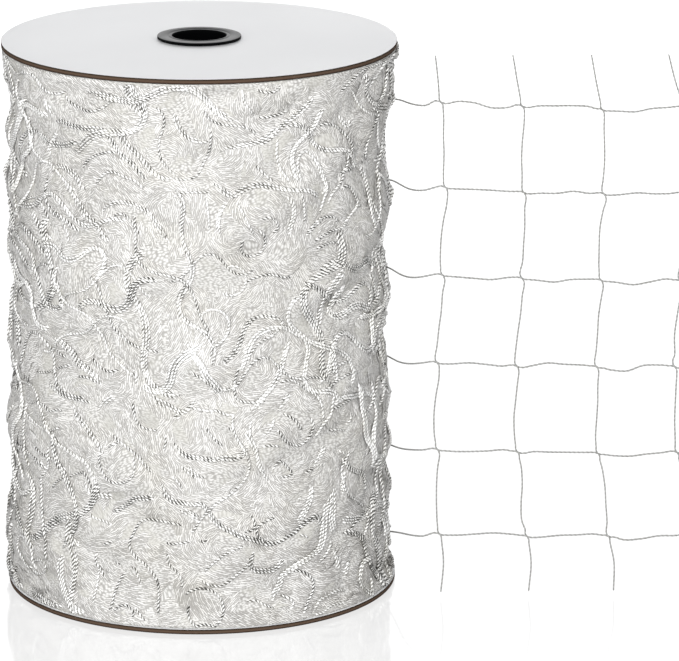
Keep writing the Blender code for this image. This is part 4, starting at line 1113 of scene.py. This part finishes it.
def board(name, low, node):
    high = low + FLANGE_T
    r = FLANGE_R
    # paper face, worn corner, lower ply, line between the plies, upper ply, worn corner, paper face
    prof = [
        (r - 0.00028, high), (r - 0.00012, high - 0.00004), (r - 0.00003, high - PAPER), (r, high - 0.00030),
        (r, high - 0.00100), (r - 0.00008, high - 0.00110), (r - 0.00008, high - 0.00120), (r - 0.00002, high - 0.00130),
        (r - 0.00002, high - 0.00200), (r - 0.00004, high - 0.00224), (r - 0.00014, low + 0.00005), (r - 0.00030, low),
        (0.060, low), (0.030, low), (BOARD_HOLE_R + 0.0002, low), (BOARD_HOLE_R, low + 0.0002),
        (BOARD_HOLE_R, high - 0.0002), (BOARD_HOLE_R + 0.0002, high), (0.030, high), (0.060, high),
    ]
    slots = [0, 1, 1, 1, 1, 1, 1, 1, 1, 1, 0, 0, 0, 0, 1, 1, 1, 0, 0, 0]
    obj = revolved(name, prof, 256, slots)
    obj.data.materials.append(paper)
    obj.data.materials.append(edge)
    obj.data.set_sharp_from_angle(angle=math.radians(28))
    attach(obj, "root")
    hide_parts(node)
    return obj


paper, edge = paper_material(), edge_material()
board("board_top", HEIGHT - FLANGE_T, "flange_top")
board("board_bottom", 0.0, "flange_bottom")

# ---------------------------------------------------------------- hub
lip_low, lip_high = HEIGHT + GAP, HEIGHT + GAP + LIP_T
prof = []
for t in np.linspace(0, math.pi / 2, 5):  # the lip's rounded outer corner
    prof.append((LIP_R - 0.00022 + 0.00022 * math.sin(t), lip_high - 0.00022 + 0.00022 * math.cos(t)))
prof += [(LIP_R, lip_low + 0.00015), (LIP_R - 0.00015, lip_low), (BARREL_R + 0.0002, lip_low), (BARREL_R, lip_low - 0.0002),
         (BARREL_R, 0.14), (BARREL_R, HUB_FOOT + 0.0002), (BARREL_R - 0.0002, HUB_FOOT), (BORE_R + 0.0003, HUB_FOOT),
         (BORE_R, HUB_FOOT + 0.0003), (BORE_R, 0.14), (BORE_R, lip_high - 0.0012)]
for t in np.linspace(0, math.pi / 2, 5):  # the bore's mouth
    prof.append((BORE_R + 0.0009 * (1 - math.cos(t)), lip_high - 0.0011 + 0.0011 * math.sin(t)))
prof += [(BORE_R + 0.0016, lip_high), (BORE_R + 0.0019, lip_high - 0.00018), (BORE_R + 0.0024, lip_high - 0.00018), (BORE_R + 0.0027, lip_high)]
# painted shade: the bore's walls and the lip's outer side get a darker copy of the plastic, standing in for the shade
# on them
shaded_walls = [1 if (r <= BORE_R + 0.0003 and h < lip_high - 0.0002) or (r > LIP_R - 0.0002 and h < lip_high - 0.0001) else 0 for r, h in prof]
hub = revolved("hub_tube", prof, 160, shaded_walls)
hub.data.materials.append(plastic_material("black_plastic", 0.009, 0.24, 0.34))
hub.data.materials.append(plastic_material("black_bore_painted_shade", 0.0014, 0.55, 0.07))
hub.data.set_sharp_from_angle(angle=math.radians(40))
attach(hub, "root")
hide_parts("hub")


# ---------------------------------------------------------------- the net's spread end
def bezier(a, b, c, d, t):
    t = t[:, None]
    s = 1 - t
    return a * s**3 + 3 * b * s * s * t + 3 * c * s * t * t + d * t**3


def leaving(z, t):
    angle = math.radians(LEAVE_DEG)
    r = min(float(net_radius(angle, z)), NET_MOST_R) - 0.0006
    start = np.array((r * math.cos(angle), r * math.sin(angle)))
    end = np.array((BEND_X, NET_PLANE_Y))
    return bezier(start, start + np.array((0.0055, -0.0150)), np.array((0.0990, NET_PLANE_Y)), end, t)


loose_rng = np.random.default_rng(7)


def knot(r, c):
    leave, height, first, mesh, fall = ROWS[r]
    return np.array(((first + c * mesh) * MM, (height - c * fall) * MM))


def row_rise(r, at):
    return float(np.interp(at, np.arange(16) / 5, ROW_RISES[r])) * MM


def upright_shift(c, at):
    return float(np.interp(at, np.arange(26) / 5, UPRIGHT_SHIFTS[c])) * MM


def crossing(r, c):
    return knot(r, c) + np.array((upright_shift(c, r), row_rise(r, c)))


loose = Tubes(0.0021)
twine_length = 0.0
for r in range(len(ROWS)):
    leave = ROWS[r][0] * MM
    first = crossing(r, 0)
    t = np.linspace(0, 1, 9)[:-1]
    plan = leaving(leave, t)
    zs = leave * (1 - t) + first[1] * t + 0.0008 * np.sin(t * 5.0 + r)
    pts = [(x, y, z) for (x, y), z in zip(plan, zs)]
    for c in range(4):
        x, z = crossing(r, c)
        pts += [(x - 0.0032, NET_PLANE_Y, z + 0.00055), (x - 0.0011, NET_PLANE_Y - 0.00042, z + 0.00050),
                (x + 0.0011, NET_PLANE_Y + 0.00042, z - 0.00060), (x + 0.0034, NET_PLANE_Y, z - 0.00065)]
        if c < 3:
            a, b = knot(r, c), knot(r, c + 1)
            for share in (0.2, 0.4, 0.6, 0.8):
                x, z = a + (b - a) * share
                pts.append((x, NET_PLANE_Y + loose_rng.normal(0, 0.0006), z + row_rise(r, c + share)))
    pts.append((NET_REACH, NET_PLANE_Y, crossing(r, 3)[1] + 0.0006))
    path = resampled(spline(pts, 14), 0.00052)
    path[:, 0] = np.minimum(path[:, 0], NET_REACH)
    twine_length += np.linalg.norm(np.diff(path, axis=0), axis=1).sum()
    path[:, 0] += SPOOL_X
    loose.add(path, np.tile((0, -1.0, 0), (len(path), 1)), LOOSE_R, 7, True, loose_rng.uniform(0, TAU), ends=0.6)
for c in range(4):
    top, bottom = ENDS[c]
    pts = [(top * MM, NET_PLANE_Y, NET_TOP)]
    x0, z0 = crossing(0, c)
    pts.append((top * MM + (x0 - top * MM) * 0.45, NET_PLANE_Y, NET_TOP + (z0 - NET_TOP) * 0.5))
    for r in range(len(ROWS)):
        x, z = crossing(r, c)
        pts += [(x - 0.0010, NET_PLANE_Y, z + 0.0036), (x - 0.0008, NET_PLANE_Y + 0.00042, z + 0.0011),
                (x + 0.0007, NET_PLANE_Y - 0.00042, z - 0.0011), (x + 0.0010, NET_PLANE_Y, z - 0.0036)]
        if r < len(ROWS) - 1:
            a, b = knot(r, c), knot(r + 1, c)
            for share in (0.2, 0.4, 0.6, 0.8):
                x, z = a + (b - a) * share
                pts.append((x + upright_shift(c, r + share), NET_PLANE_Y + loose_rng.normal(0, 0.0006), z))
    x, z = crossing(5, c)
    pts += [(x + (bottom * MM - x) * 0.5 + 0.0016, NET_PLANE_Y, z + (NET_BOTTOM - z) * 0.5), (bottom * MM, NET_PLANE_Y, NET_BOTTOM + 0.0004)]
    path = resampled(spline(pts, 14), 0.00052)
    twine_length += np.linalg.norm(np.diff(path, axis=0), axis=1).sum()
    path[:, 0] += SPOOL_X
    loose.add(path, np.tile((0, -1.0, 0), (len(path), 1)), LOOSE_R * 0.90, 7, True, loose_rng.uniform(0, TAU), ends=0.6)
loose_obj = loose.make("net_loose_end")
# painted shade: the loose end is the roll's white twine, given grey tones for the shade it shows against the white
# ground
loose_obj.data.materials.append(twine_material("twine_loose_painted_shade", (0.42, 0.42, 0.412), (0.36, 0.36, 0.352), (0.27, 0.27, 0.262), 0.00003, shade=0.0))
print("loose end triangles", loose.tris, "twine", round(twine_length, 3))
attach(loose_obj, "root")
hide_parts("loose_end")

# ---------------------------------------------------------------- floor, light and camera
bpy.ops.mesh.primitive_plane_add(size=16, location=(0, 2.0, 0))
floor = bpy.context.object
floor.name = "floor"
floor.data.materials.append(floor_material())
floor.visible_diffuse = False  # the floor is white and throws no light up on the object
bpy.ops.mesh.primitive_plane_add(size=3.2, location=(0, 5.0, 1.6), rotation=(math.pi / 2, 0, 0))
backdrop = bpy.context.object
backdrop.name = "backdrop"
backdrop.data.materials.append(backdrop_material())

world = bpy.data.worlds.new("studio")
bpy.context.scene.world = world
world.use_nodes = True
world.node_tree.nodes["Background"].inputs[0].default_value = (1.0, 1.0, 1.0, 1)
world.node_tree.nodes["Background"].inputs[1].default_value = 0.22


def area_light(name, place, at, size, power, mirrored=False):
    data = bpy.data.lights.new(name, "AREA")
    data.energy = power
    data.shape = "SQUARE"
    data.size = size
    obj = bpy.data.objects.new(name, data)
    obj.location = place
    obj.rotation_euler = (Vector(at) - Vector(place)).to_track_quat("-Z", "Y").to_euler()
    obj.visible_glossy = mirrored  # the glossy floor shows the object and not the lamps
    bpy.context.scene.collection.objects.link(obj)
    return obj


area_light("key", (SPOOL_X - 0.26, -2.6, 0.90), (SPOOL_X, 0, 0.12), 1.5, 92.5)
area_light("overhead", (SPOOL_X + 0.1, 0.5, 2.2), (SPOOL_X, 0, 0.0), 2.0, 2, True)
area_light("left_fill", (SPOOL_X - 2.3, 0.2, 1.3), (SPOOL_X, 0, 0.14), 1.2, 10)
area_light("right_fill", (SPOOL_X + 2.3, 0.2, 1.3), (SPOOL_X, 0, 0.14), 1.2, 12)
area_light("back", (SPOOL_X + 0.25, 2.5, 1.2), (SPOOL_X, 0, 0.12), 1.2, 60)

D, H, F, PITCH_C, YAW, ROLL = 24.3356, 7.8033, 4907.3, 0.2609, 0.0292, 0.0015
cam_data = bpy.data.cameras.new("camera")
cam_data.sensor_fit = "HORIZONTAL"
cam_data.sensor_width = 36.0
cam_data.lens = F / 679 * 36.0
cam_data.clip_start, cam_data.clip_end = 0.1, 50
cam = bpy.data.objects.new("camera", cam_data)
fw = Vector((math.sin(YAW) * math.cos(PITCH_C), math.cos(YAW) * math.cos(PITCH_C), -math.sin(PITCH_C)))
rt = Vector((math.cos(YAW), -math.sin(YAW), 0.0))
upv = rt.cross(fw)
right = rt * math.cos(ROLL) + upv * math.sin(ROLL)
above = upv * math.cos(ROLL) - rt * math.sin(ROLL)
m = Matrix((right, above, -fw)).transposed().to_4x4()
m.translation = Vector((SPOOL_X, -D * FLANGE_R, H * FLANGE_R))
cam.matrix_world = m
bpy.context.scene.collection.objects.link(cam)
bpy.context.scene.camera = cam
bpy.context.scene.view_settings.view_transform = "Standard"
bpy.context.scene.view_settings.look = "None"
